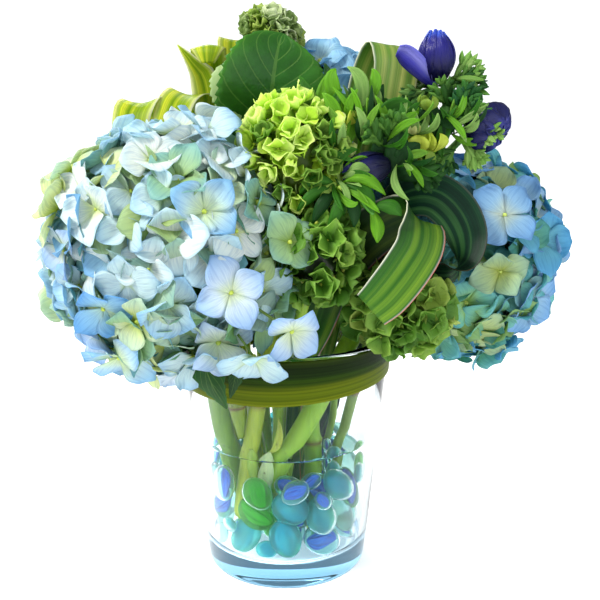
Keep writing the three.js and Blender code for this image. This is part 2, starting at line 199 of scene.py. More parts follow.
# --- meshes
class Builder:
    """A mesh made of many curved sheets and tubes, with UVs and a tint for every vertex."""

    def __init__(self) -> None:
        """Starts with nothing."""
        self.points: list[Array] = []
        self.uvs: list[Array] = []
        self.tints: list[Array] = []
        self.faces: list[tuple[int, ...]] = []
        self.count = 0

    def _store(self, points: Array, tint: Array) -> int:
        """Keeps a patch's vertices, with U from 0 to 1 across it and V from 0 to 1 along it.

        Args:
            points: rows by columns by 3.
            tint: the same layout, or one colour. A fourth number says how far it hides the stripes.

        Returns:
            The number of the patch's first vertex.
        """
        start = self.count
        rows, cols = points.shape[:2]
        uv = np.stack(np.meshgrid(np.linspace(0, 1, cols), np.linspace(0, 1, rows)), -1)
        flat = points.reshape(-1, 3)
        tint = np.asarray(tint)
        if tint.shape[-1] == 3:
            tint = np.concatenate([tint, np.zeros((*tint.shape[:-1], 1))], axis=-1)
        self.points.append(flat)
        self.uvs.append(uv.reshape(-1, 2))
        self.tints.append(np.broadcast_to(tint, (*points.shape[:-1], 4)).reshape(-1, 4))
        self.count += len(flat)
        return start

    def sheet(self, points: Array, tint: Array) -> None:
        """Adds one sheet.

        Args:
            points: rows along the sheet by columns across it by 3.
            tint: one colour, or one for each point.
        """
        rows, cols = points.shape[:2]
        start = self._store(points, tint)
        for i in range(rows - 1):
            for j in range(cols - 1):
                a = start + i * cols + j
                self.faces.append((a, a + 1, a + cols + 1, a + cols))

    def tube(self, rings: Array, tint: Array) -> None:
        """Adds one closed tube.

        Args:
            rings: rings along the tube by points round it by 3.
            tint: one colour, or one for each point.
        """
        rows, cols = rings.shape[:2]
        start = self._store(rings, tint)
        for i in range(rows - 1):
            for j in range(cols):
                a, b = start + i * cols + j, start + i * cols + (j + 1) % cols
                self.faces.append((a, b, b + cols, a + cols))
        self.faces.append(tuple(start + j for j in reversed(range(cols))))
        self.faces.append(tuple(start + (rows - 1) * cols + j for j in range(cols)))

    def object(self, name: str, material: Material, thickness: float = 0.0) -> Piece:
        """Makes the Blender object.

        Args:
            name: the piece's name.
            material: its finish.
            thickness: the sheets' thickness in metres, or 0 for a mesh of closed tubes.

        Returns:
            The object, smooth shaded and linked to the scene.
        """
        mesh = bpy.data.meshes.new(name)
        mesh.from_pydata(np.concatenate(self.points).tolist(), [], self.faces)
        uvs, tints = np.concatenate(self.uvs), np.concatenate(self.tints)
        corner = np.zeros(len(mesh.loops), np.int32)
        mesh.loops.foreach_get("vertex_index", corner)
        mesh.uv_layers.new(name="UVMap").data.foreach_set("uv", uvs[corner].ravel())
        tint = mesh.color_attributes.new("tint", "FLOAT_COLOR", "POINT")
        tint.data.foreach_set("color", tints.ravel())
        mesh.polygons.foreach_set("use_smooth", [True] * len(mesh.polygons))
        mesh.materials.append(material)
        piece = placed(name, mesh)
        if thickness:
            solid = piece.modifiers.new("thickness", "SOLIDIFY")
            solid.thickness = thickness
            solid.offset = 0.0
        return piece


def lathe(name: str, profile: Array, segments: int, material: Material) -> Piece:
    """A solid of revolution about +Z.

    Args:
        name: the piece's name.
        profile: radius and height of each point, from the axis round to the axis.
        segments: faces round the axis.
        material: its finish.

    Returns:
        The object, smooth shaded and linked to the scene.
    """
    mesh = bmesh.new()
    rings = []
    for radius, height in profile:
        if radius < 1e-7:
            rings.append([mesh.verts.new((0, 0, height))] * segments)
            continue
        turns = [2 * math.pi * j / segments for j in range(segments)]
        rings.append([mesh.verts.new((radius * math.cos(a), radius * math.sin(a), height)) for a in turns])
    for low, high in zip(rings, rings[1:]):
        for j in range(segments):
            k = (j + 1) % segments
            corners = list(dict.fromkeys([low[j], low[k], high[k], high[j]]))
            if len(corners) > 2:
                mesh.faces.new(corners).smooth = True
    data = bpy.data.meshes.new(name)
    mesh.to_mesh(data)
    mesh.free()
    data.materials.append(material)
    return placed(name, data)


def report(piece: Piece, slot: str, nodes: Sequence[str] = ()) -> None:
    """Makes a finished piece ride on the vase's body and logs it.

    Args:
        piece: the finished piece.
        slot: the record's material slot that its finish belongs to.
        nodes: the frame's nodes that it stands for.
    """
    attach(piece, BODY)
    if nodes:
        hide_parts(*nodes)
    LOG.info("%s: %d faces, slot %s", piece.name, len(piece.data.polygons), slot)


# --- finishes
class Tree:
    """A short way to write a material's nodes."""

    def __init__(self, name: str) -> None:
        """Starts an empty material of that name."""
        self.material = bpy.data.materials.new(name)
        self.material.use_nodes = True
        self.tree = self.material.node_tree
        self.tree.nodes.clear()

    def add(self, kind: str, settings: dict[str, object] | None = None, **inputs: object) -> Node:
        """Adds a node.

        Args:
            kind: the node's type without its ShaderNode prefix.
            settings: properties of the node itself.
            inputs: values or sockets for its inputs, with _ for a blank and a final digit for its number.

        Returns:
            The node.
        """
        node = self.tree.nodes.new("ShaderNode" + kind)
        for key, value in (settings or {}).items():
            setattr(node, key, value)
        for key, value in inputs.items():
            socket = node.inputs[int(key[1:])] if key[1:].isdigit() else node.inputs[key.replace("_", " ")]
            if isinstance(value, Socket):
                self.tree.links.new(value, socket)
            else:
                socket.default_value = value
        return node

    def math(self, operation: str, a: object, b: object = 0.0) -> Socket:
        """The result of a Math node."""
        return self.add("Math", {"operation": operation}, i0=a, i1=b).outputs[0]

    def times(self, a: object, b: object) -> Socket:
        """The product of two values."""
        return self.math("MULTIPLY", a, b)

    def noise(self, vector: Socket, scale: float, detail: float = 3.0) -> Socket:
        """The value of a noise texture."""
        return self.add("TexNoise", Vector=vector, Scale=scale, Detail=detail).outputs[0]

    def ramp(self, value: Socket, stops: Sequence[tuple[float, Array]]) -> Socket:
        """A colour from a value.

        Args:
            value: the value, from 0 to 1.
            stops: place and linear colour of each stop.

        Returns:
            The colour socket.
        """
        node = self.add("ValToRGB", Fac=value)
        elements = node.color_ramp.elements
        while len(elements) < len(stops):
            elements.new(0.5)
        for element, (place, colour) in zip(elements, stops):
            element.position = place
            element.color = (*colour, 1.0)
        return node.outputs[0]

    def blend(self, share: object, a: object, b: object, how: str = "MIX") -> Socket:
        """Colour b laid over colour a.

        Args:
            share: how far, as a number or a socket.
            a: the lower colour, linear or a socket.
            b: the upper colour, linear or a socket.
            how: the way it is laid.

        Returns:
            The colour socket.
        """
        node = self.add("MixRGB", {"blend_type": how})
        for socket, value in zip(node.inputs, (share, a, b)):
            if isinstance(value, Socket):
                self.tree.links.new(value, socket)
            else:
                socket.default_value = value if np.isscalar(value) else (*value, 1.0)
        return node.outputs[0]

    def bump(self, height: Socket, strength: float, distance: float) -> Socket:
        """The normal that a height gives."""
        return self.add("Bump", Height=height, Strength=strength, Distance=distance).outputs[0]

    def shine(self, first: Node, second: Node, share: float | Socket) -> Node:
        """A mix of two shaders."""
        return self.add("MixShader", Fac=share, i1=first.outputs[0], i2=second.outputs[0])

    def tissue(self, colour: Socket, normal: Socket, roughness: float, gloss: float,
               through: float) -> Material:
        """The finished material of thin plant tissue.

        Args:
            colour: its colour.
            normal: its relief.
            roughness: how matt it is.
            gloss: how strongly it mirrors light.
            through: the share of light that comes through it.

        Returns:
            The material.
        """
        front = self.add("BsdfPrincipled", Base_Color=colour, Roughness=roughness, Normal=normal,
                         Specular_IOR_Level=gloss)
        glow = self.add("BsdfTranslucent", Color=colour, Normal=normal)
        return self.done(self.shine(front, glow, through))

    def done(self, shader: Node) -> Material:
        """Links the shader to the output and returns the material."""
        self.add("OutputMaterial", Surface=shader.outputs[0])
        return self.material

    def split_uv(self) -> tuple[Socket, Socket, Socket]:
        """U, V and both together.

        Returns:
            The three sockets.
        """
        uv = self.add("UVMap").outputs[0]
        parts = self.add("SeparateXYZ", Vector=uv)
        return parts.outputs[0], parts.outputs[1], uv

    def tint(self) -> Socket:
        """The tint painted on the mesh."""
        return self.add("Attribute", {"attribute_name": "tint"}).outputs["Color"]

    def cover(self) -> Socket:
        """How far the painted tint hides the stripes under it."""
        return self.add("Attribute", {"attribute_name": "tint"}).outputs["Alpha"]


@dataclass(frozen=True)
class PetalFinish:
    """Thin petal tissue: painted tint, fine veins that fan out, and light that comes through."""

    name: str
    roughness: float = 0.5
    veins: float = 0.5
    vein_count: float = 22.0
    through: float = 0.4
    crinkle: float = 0.35

    def material(self) -> Material:
        """Builds the material.

        Returns:
            The material.
        """
        t = Tree(self.name)
        u, v, _ = t.split_uv()
        place = t.add("TexCoord").outputs["Object"]
        fan = t.add("CombineXYZ", X=t.times(u, self.vein_count), Y=t.times(v, 2.0))
        streak = t.noise(fan.outputs[0], 1.0, 2.0)
        soft = t.noise(place, 90.0, 3.0)
        tint = t.tint()
        dark = t.blend(1.0, tint, paint(188, 204, 226), "MULTIPLY")
        line = t.ramp(streak, [(0.42, paint(255, 255, 255)), (0.56, paint(0, 0, 0))])
        colour = t.blend(t.times(line, self.veins), tint, dark)
        relief = t.math("ADD", streak, t.times(soft, 1.4))
        normal = t.bump(relief, self.crinkle, 0.0012)
        return t.tissue(colour, normal, self.roughness, 0.35, self.through)


@dataclass(frozen=True)
class BladeFinish:
    """A waxy strap of leaf with lengthwise stripes, a paler edge and light that comes through."""

    name: str
    dark: Rgb
    green: Rgb
    pale: Rgb
    stripes: float = 9.0
    through: float = 0.25
    shift: float = 0.0
    gloss: float = 0.25

    def material(self) -> Material:
        """Builds the material.

        Returns:
            The material.
        """
        t = Tree(self.name)
        u, v, _ = t.split_uv()
        across = t.math("ADD", t.times(u, self.stripes), self.shift)
        lanes = t.add("CombineXYZ", X=across, Y=t.times(v, 0.8))
        band = t.noise(lanes.outputs[0], 1.0, 2.0)
        fine = t.add("CombineXYZ", X=t.times(u, 70.0), Y=t.times(v, 1.5))
        grain = t.noise(fine.outputs[0], 1.0, 2.0)
        stops = [(0.3, paint(*self.dark)), (0.5, paint(*self.green)), (0.66, paint(*self.pale))]
        colour = t.blend(1.0, t.ramp(band, stops), t.tint(), "MULTIPLY")
        shade = t.ramp(grain, [(0.3, paint(190, 200, 190)), (0.7, paint(255, 255, 255))])
        colour = t.blend(0.8, colour, shade, "MULTIPLY")
        colour = t.blend(t.cover(), colour, t.tint())
        normal = t.bump(grain, 0.4, 0.0006)
        return t.tissue(colour, normal, 0.42, self.gloss, self.through)


@dataclass(frozen=True)
class LeafFinish:
    """A veined leaf: midrib and slanting side veins paler than the quilted tissue between them."""

    name: str
    side_veins: float = 9.0
    slant: float = 0.32
    through: float = 0.25
    roughness: float = 0.4

    def material(self) -> Material:
        """Builds the material.

        Returns:
            The material.
        """
        t = Tree(self.name)
        u, v, _ = t.split_uv()
        out = t.math("ABSOLUTE", t.math("SUBTRACT", t.times(u, 2.0), 1.0))
        along = t.math("SUBTRACT", v, t.times(out, self.slant))
        phase = t.math("FRACT", t.times(along, self.side_veins))
        away = t.math("ABSOLUTE", t.math("SUBTRACT", phase, 0.5))
        side = t.math("GREATER_THAN", away, 0.455)
        rib = t.math("LESS_THAN", out, 0.035)
        vein = t.math("MAXIMUM", side, rib)
        place = t.add("TexCoord").outputs["Object"]
        cells = t.add("TexVoronoi", {"feature": "DISTANCE_TO_EDGE"}, Vector=place, Scale=420.0).outputs[0]
        mottle = t.noise(place, 60.0, 3.0)
        cloud = t.ramp(mottle, [(0.3, paint(200, 205, 190)), (0.7, paint(255, 255, 255))])
        tint = t.blend(1.0, t.tint(), cloud, "MULTIPLY")
        colour = t.blend(t.times(vein, 0.16), tint, paint(150, 195, 90))
        relief = t.math("SUBTRACT", t.times(cells, 0.6), t.times(vein, 0.5))
        normal = t.bump(relief, 0.35, 0.0008)
        return t.tissue(colour, normal, self.roughness, 0.3, self.through)


@dataclass(frozen=True)
class StemFinish:
    """Smooth green stem with fine lengthwise grain, small dark specks and painted node rings."""

    name: str
    specks: float = 0.5

    def material(self) -> Material:
        """Builds the material.

        Returns:
            The material.
        """
        t = Tree(self.name)
        place = t.add("TexCoord").outputs["Object"]
        drawn = t.add("Mapping", Vector=place, Scale=(1.0, 1.0, 0.12)).outputs[0]
        grain = t.noise(drawn, 700.0, 2.0)
        spots = t.add("TexVoronoi", Vector=place, Scale=170.0).outputs[0]
        speck = t.times(t.math("LESS_THAN", spots, 0.13), self.specks)
        shade = t.ramp(grain, [(0.3, paint(176, 200, 60)), (0.7, paint(255, 255, 150))])
        colour = t.blend(0.5, t.tint(), shade, "MULTIPLY")
        colour = t.blend(speck, colour, paint(70, 60, 25))
        normal = t.bump(grain, 0.25, 0.0005)
        return t.done(t.add("BsdfPrincipled", Base_Color=colour, Roughness=0.42, Normal=normal,
                            Subsurface_Weight=0.15, Subsurface_Radius=(0.4, 0.8, 0.2),
                            Subsurface_Scale=0.003))


@dataclass(frozen=True)
class ClearFinish:
    """Clear glass or water that lets lamp light through to what stands in it."""

    name: str
    ior: float
    colour: Colour = (0.97, 0.99, 0.99)
    foot: Colour | None = None
    foot_height: float = 0.018
    density: float = 0.0
    mirror: Colour = (0.14, 0.17, 0.2)
    depth: Colour = (0.3, 0.66, 0.84)

    def material(self) -> Material:
        """Builds the material.

        Returns:
            The material.
        """
        t = Tree(self.name)
        body = t.add("BsdfPrincipled", Roughness=0.0, IOR=self.ior, Base_Color=(*self.colour, 1.0),
                     Specular_Tint=(*self.mirror, 1.0), Transmission_Weight=1.0)
        if self.foot is not None:
            height = t.add("SeparateXYZ", Vector=t.add("TexCoord").outputs["Object"]).outputs[2]
            share = t.math("DIVIDE", height, self.foot_height)
            shade = t.ramp(share, [(0.75, np.array(self.foot)), (1.0, np.array(self.colour))])
            t.tree.links.new(shade, body.inputs["Base Color"])
        open_air = t.add("BsdfTransparent", Color=(*self.colour, 1.0))
        ray = t.add("LightPath").outputs["Is Shadow Ray"]
        material = t.done(t.shine(body, open_air, ray))
        if self.density > 0:
            depth = t.add("VolumeAbsorption", Color=(*self.depth, 1.0), Density=self.density)
            output = next(node for node in t.tree.nodes if node.type == "OUTPUT_MATERIAL")
            t.tree.links.new(depth.outputs[0], output.inputs["Volume"])
        return material


@dataclass(frozen=True)
class GemFinish:
    """A milky glass gem: part clear body, part frosted skin in its own colour."""

    name: str
    body: Rgb
    skin: Rgb
    milk: float = 0.35

    def material(self) -> Material:
        """Builds the material.

        Returns:
            The material.
        """
        t = Tree(self.name)
        place = t.add("TexCoord").outputs["Object"]
        cloud = t.noise(place, 55.0, 3.0)
        colour = t.ramp(cloud, [(0.35, paint(*self.body)), (0.65, paint(*self.skin))])
        clear = t.add("BsdfPrincipled", Base_Color=colour, Roughness=0.04, IOR=1.17, Transmission_Weight=1.0)
        frost = t.add("BsdfPrincipled", Base_Color=colour, Roughness=0.25)
        glow = t.add("BsdfTranslucent", Color=colour)
        milk = t.shine(frost, glow, 0.5)
        solid = t.shine(clear, milk, self.milk)
        open_air = t.add("BsdfTransparent", Color=(0.9, 0.95, 0.95, 1.0))
        ray = t.times(t.add("LightPath").outputs["Is Shadow Ray"], 0.75)
        return t.done(t.shine(solid, open_air, ray))


@dataclass(frozen=True)
class SwirlFinish:
    """Opaque coloured glass drawn out in streaks inside a gem."""

    name: str
    deep: Rgb
    light: Rgb

    def material(self) -> Material:
        """Builds the material.

        Returns:
            The material.
        """
        t = Tree(self.name)
        u, v, _ = t.split_uv()
        drawn = t.add("CombineXYZ", X=t.times(u, 9.0), Y=t.times(v, 1.6))
        streak = t.noise(drawn.outputs[0], 1.0, 1.0)
        colour = t.ramp(streak, [(0.44, paint(*self.deep)), (0.56, paint(*self.light))])
        return t.done(t.add("BsdfPrincipled", Base_Color=colour, Roughness=0.15))


@dataclass(frozen=True)
class FloorFinish:
    """A plain pale matt floor."""

    name: str = "pale_floor"
    glow: float = 0.62

    def material(self) -> Material:
        """Builds the material.

        Returns:
            The material.
        """
        t = Tree(self.name)
        place = t.add("TexCoord").outputs["Object"]
        colour = t.ramp(t.noise(place, 3.0), [(0.3, paint(228, 228, 228)), (0.7, paint(234, 234, 234))])
        return t.done(t.add("BsdfPrincipled", Base_Color=colour, Roughness=0.9, Emission_Color=colour,
                            Emission_Strength=self.glow))


# --- florets and flower heads
@dataclass(frozen=True)
class Sepal:
    """One broad sepal of a hydrangea floret, in millimetres, lying along +Y from its claw."""

    length: float
    width: float
    cup: float = 0.22
    reflex: float = 0.1
    ruffle: float = 0.06
    point: float = 0.1
    rows: int = 9
    cols: int = 9

    def grid(self, random: Random) -> Axes:
        """One sepal of this kind, a little different each time.

        Args:
            random: the source of the differences.

        Returns:
            Its points in metres, and U from -1 to 1 and V from 0 to 1 at each point.
        """
        v, u = np.meshgrid(np.linspace(0, 1, self.rows), np.linspace(-1, 1, self.cols), indexing="ij")
        length = self.length * random.uniform(0.86, 1.12)
        half = 0.5 * self.width * random.uniform(0.86, 1.12)
        down = 2 * v - 1
        round_x, round_y = u * np.sqrt(1 - down**2 / 2), down * np.sqrt(1 - u**2 / 2)
        x = half * round_x * (0.4 + 0.66 * smooth(-1.0, 0.2, round_y))
        y = length * ((round_y + 1) / 2 + self.point * v**4 * (1 - np.abs(u)) ** 2)
        phase = random.uniform(0, 2 * math.pi)
        wave = self.ruffle * length * np.sin(phase + 3.4 * u + 2.2 * v) * v**2
        bowl = self.cup * half * random.uniform(0.4, 1.5) * (u**2) * v
        bend = -self.reflex * length * random.uniform(-0.4, 1.6) * v**3
        crease = -0.03 * half * np.exp(-((u / 0.16) ** 2)) * v
        return np.stack([x, y, wave + bowl + bend + crease], -1) * MM, u, v


@dataclass(frozen=True)
class Palette:
    """How a floret is coloured, and which side of the head carries that colour most."""

    throat: Rgb
    middle: Rgb
    margin: Rgb
    side: Point = (0.0, -1.0, 0.0)
    pull: float = 0.0
    share: float = 1.0

    def tint(self, u: Array, v: Array, blue: float, age: float) -> Array:
        """The colours over one sepal.

        Args:
            u: place across, from -1 to 1.
            v: place along, from 0 to 1.
            blue: how far the margin's colour spreads inwards, from 0 to 1.
            age: how far the throat's colour spreads outwards, from 0 to 1.

        Returns:
            A colour for each point.
        """
        rim = smooth(0.1 + 0.6 * (1 - blue), 1.1, np.maximum(v, 0.85 * np.abs(u) * (0.5 + 0.5 * v)))
        colour = mix(paint(*self.throat), paint(*self.middle), smooth(0.02, 0.22 + 0.7 * age, v))
        return mix(colour, paint(*self.margin), rim * (0.4 + 0.6 * blue))


@dataclass
class Clearance:
    """Room that florets leave free round stems and blades and inside the vase."""

    points: list[Array] = field(default_factory=list)
    reaches: list[Array] = field(default_factory=list)
    solids: list[tuple[Array, float]] = field(default_factory=list)
    vase_reach: float = 0.070
    vase_top: float = 0.152
    bed_top: float = 75.0

    def stands(self, route: Route, radius: float) -> None:
        """Notes a stem that stands between the gems, by its route and radius in millimetres."""
        rows = spline(np.array(route, float), 120)[:, :3]
        self.solids.append((rows[rows[:, 2] < self.bed_top] * MM, radius * MM))

    def along(self, route: Route, reach: float) -> None:
        """Keeps room free along a route.

        Args:
            route: its places in millimetres.
            reach: how far from it, in millimetres.
        """
        rows = spline(np.array(route, float), 40)[:, :3] * MM
        self.points.append(rows)
        self.reaches.append(np.full(len(rows), reach * MM))

    def blocks(self, place: Array) -> bool:
        """Whether a place in metres lies in the vase or in the room that stays free."""
        away = np.linalg.norm(np.concatenate(self.points) - place, axis=1) < np.concatenate(self.reaches)
        return bool(np.any(away)) or (math.hypot(*place[:2]) < self.vase_reach and place[2] < self.vase_top)


@dataclass(frozen=True)
class Feature:
    """A single floret put in a chosen place, in millimetres."""

    place: Point
    facing: Point
    palette: Palette
    size: float = 1.0
    turn: float = 0.0
    tilt: tuple[float, float] = (0.0, 15.0)


@dataclass
class FlowerHead:
    """A round head of four-sepalled florets over a branched green heart, in the place of its node."""

    name: str
    slot: str
    florets: int
    sepal: Sepal
    palettes: Sequence[Palette]
    finish: PetalFinish
    seed: int
    clear: Clearance
    green: Material
    tilt: tuple[float, float] = (4.0, 26.0)
    inner: float = 0.78
    proud: float = 0.92
    # Painted shade: florets deep in the head and the heart are darkened towards this colour.
    shade: Colour = (0.62, 0.74, 0.56)
    eye: Rgb = (190, 205, 120)
    eye_radius: float = 1.5
    branch_radius: float = 0.9
    scatter: float = 0.022
    roll: float = 0.26
    petals: tuple[int, ...] = (4,)
    features: Sequence[Feature] = ()
    beside: Sequence[str] = ()

    def __post_init__(self) -> None:
        """Reads the head's place and size from the frame and starts its meshes."""
        self.node = self.name + "_head"
        self.centre, self.radii = self.ellipsoid(self.node)
        self.random = np.random.default_rng(self.seed)
        self.sheets, self.eyes = Builder(), Builder()

    def ellipsoid(self, node: str) -> tuple[Array, Array]:
        """The middle and the half sizes of a node."""
        low, high = (np.array(corner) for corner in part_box(node))
        return (low + high) / 2, (high - low) / 2

    def directions(self, count: int, random: Random) -> Array:
        """Unit vectors spread evenly over a sphere, each moved a little."""
        even = ball(count)
        return unit(even + random.normal(0, 0.3 / math.sqrt(count), even.shape))

    def choose(self, direction: Array) -> Palette:
        """The palette that wins at one side of the head.

        Args:
            direction: the side.

        Returns:
            The palette.
        """
        leans = [float(unit(np.array(p.side)) @ direction) for p in self.palettes]
        weights = [p.share * math.exp(p.pull * lean) for p, lean in zip(self.palettes, leans)]
        total = np.cumsum(weights)
        return self.palettes[int(np.searchsorted(total, self.random.uniform(0, total[-1])))]

    def crowded(self, place: Array) -> bool:
        """Whether a place lies inside one of the neighbouring heads."""
        others = (self.ellipsoid(node) for node in self.beside)
        return any(np.linalg.norm((place - middle) / half) < 0.95 for middle, half in others)

    def floret(self, place: Array, facing: Array, palette: Palette, size: float, turn: float,
               tilt: tuple[float, float], deep: float = 0.0) -> None:
        """Adds one floret with its bud.

        Args:
            place: the floret's middle.
            facing: the way it faces.
            palette: its colours.
            size: its size against the usual one.
            turn: the angle of its first sepal.
            tilt: the smallest and greatest rise of its sepals, in degrees.
            deep: how far it lies inside the head, from 0 to 1, which also sets its painted shade.
        """
        random = self.random
        a, b, n = frame_of(facing)
        blue, age = random.uniform(0, 1), random.uniform(0, 1) ** 2
        count = int(random.choice(self.petals))
        # Painted shade: deep florets are darkened towards the head's shade colour; the random factor is a
        # small change of tone.
        whole = mix(np.ones(3), self.shade, np.array(deep)) * random.uniform(0.94, 1.04)
        for k in range(count):
            angle = turn + 2 * math.pi * k / count + random.normal(0, 0.07)
            out = a * math.cos(angle) + b * math.sin(angle)
            lift = math.radians(random.uniform(*tilt))
            roll = random.normal(0, self.roll)
            along = out * math.cos(lift) + n * math.sin(lift)
            level, upward = np.cross(out, n), n * math.cos(lift) - out * math.sin(lift)
            side = level * math.cos(roll) + upward * math.sin(roll)
            above = upward * math.cos(roll) - level * math.sin(roll)
            grid, u, v = self.sepal.grid(random)
            grid = grid * size
            step = n * 0.0005 * (k % 2)
            points = place + step + side * grid[..., :1] + along * grid[..., 1:2] + above * grid[..., 2:]
            self.sheets.sheet(points, palette.tint(u, v, blue, age) * whole)
        self.bud(place, n)

    def bud(self, place: Array, facing: Array) -> None:
        """Adds a floret's small domed bud.

        Args:
            place: the floret's middle.
            facing: the way it faces.
        """
        a, b, n = frame_of(facing)
        radius = self.eye_radius * MM * self.random.uniform(0.8, 1.2)
        dome = ((0.7, -0.9), (1.0, 0.2), (0.72, 0.95), (0.2, 1.3))
        rings = [place + circle(a, b, 6) * radius * w + n * radius * h for w, h in dome]
        self.eyes.tube(np.array(rings), paint(*self.eye) * self.random.uniform(0.85, 1.1))

    def branches(self, places: Sequence[Array]) -> None:
        """Adds the green branches that run from the head's middle to its florets.

        Args:
            places: the florets' middles.
        """
        for place in places:
            inward = self.centre + (place - self.centre) * 0.25
            bow = self.random.normal(0, 0.002, 3)
            rows = spline(np.array([inward, (inward + place) / 2 + bow, place]), 4)
            a, b, _ = frame_of(place - inward)
            rings = np.array([row + circle(a, b, 4) * (self.branch_radius * MM) for row in rows])
            self.eyes.tube(rings, paint(120, 150, 70) * self.random.uniform(0.6, 1.0))

    def heart(self) -> Piece:
        """Makes the crowded young buds that close the head's middle, darkened with painted shade.

        Returns:
            The object.
        """
        mesh = bmesh.new()
        bmesh.ops.create_icosphere(mesh, subdivisions=4, radius=1.0)
        bumps = self.directions(90, np.random.default_rng(self.seed + 5))
        for vertex in mesh.verts:
            d = np.array(vertex.co)
            near = float(np.max(bumps @ d))
            scale = self.inner * (0.78 + 0.14 * float(smooth(0.96, 1.0, near)))
            vertex.co = Vector(self.centre + self.radii * d * scale)
        data = bpy.data.meshes.new(self.name + "_heart")
        mesh.to_mesh(data)
        mesh.free()
        tint = data.color_attributes.new("tint", "FLOAT_COLOR", "POINT")
        # Painted shade: the heart is the throat colour darkened to stand for the shade inside the head.
        colour = (*(paint(*self.palettes[0].throat) * 0.3 * self.shade), 0.0)
        tint.data.foreach_set("color", np.tile(colour, len(data.vertices)))
        data.uv_layers.new(name="UVMap")
        data.polygons.foreach_set("use_smooth", [True] * len(data.polygons))
        data.materials.append(self.green)
        return placed(data.name, data)

    def build(self) -> None:
        """Builds the head: florets outside, smaller florets inside darkened with painted shade, eyes,
        branches and heart.
        """
        random = self.random
        places = []
        for feature in self.features:
            place = np.array(feature.place) * MM
            facing = unit(np.array(feature.facing))
            self.floret(place, facing, feature.palette, feature.size, feature.turn, feature.tilt)
            places.append(place)
        chosen = list(places)
        near = 0.55 * self.sepal.length * MM
        # The inner layer has deep 1, so its florets carry the full painted shade.
        layers = ((int(self.florets * 0.85), self.inner, 1.0), (self.florets, self.proud, 0.0))
        for count, reach, deep in layers:
            for d in self.directions(count, random):
                facing = unit(d / self.radii + random.normal(0, 0.16, 3) / np.mean(self.radii))
                place = self.centre + self.radii * d * (reach + random.normal(0, self.scatter))
                palette = self.choose(d)
                size = random.uniform(0.84, 1.12) * (1 - 0.12 * deep)
                turn = random.uniform(0, 2 * math.pi)
                taken = deep == 0 and any(np.linalg.norm(place - other) < 2 * near for other in chosen)
                if taken or self.clear.blocks(place + facing * near * 0.3) or self.crowded(place):
                    continue
                self.floret(place, facing, palette, size, turn, self.tilt, deep)
                places.append(place)
        piece = self.sheets.object(self.name + "_florets", self.finish.material(), thickness=0.00025)
        report(piece, self.slot, [self.node])
        self.branches(places)
        report(self.eyes.object(self.name + "_eyes", self.green), self.slot)
        report(self.heart(), self.slot)


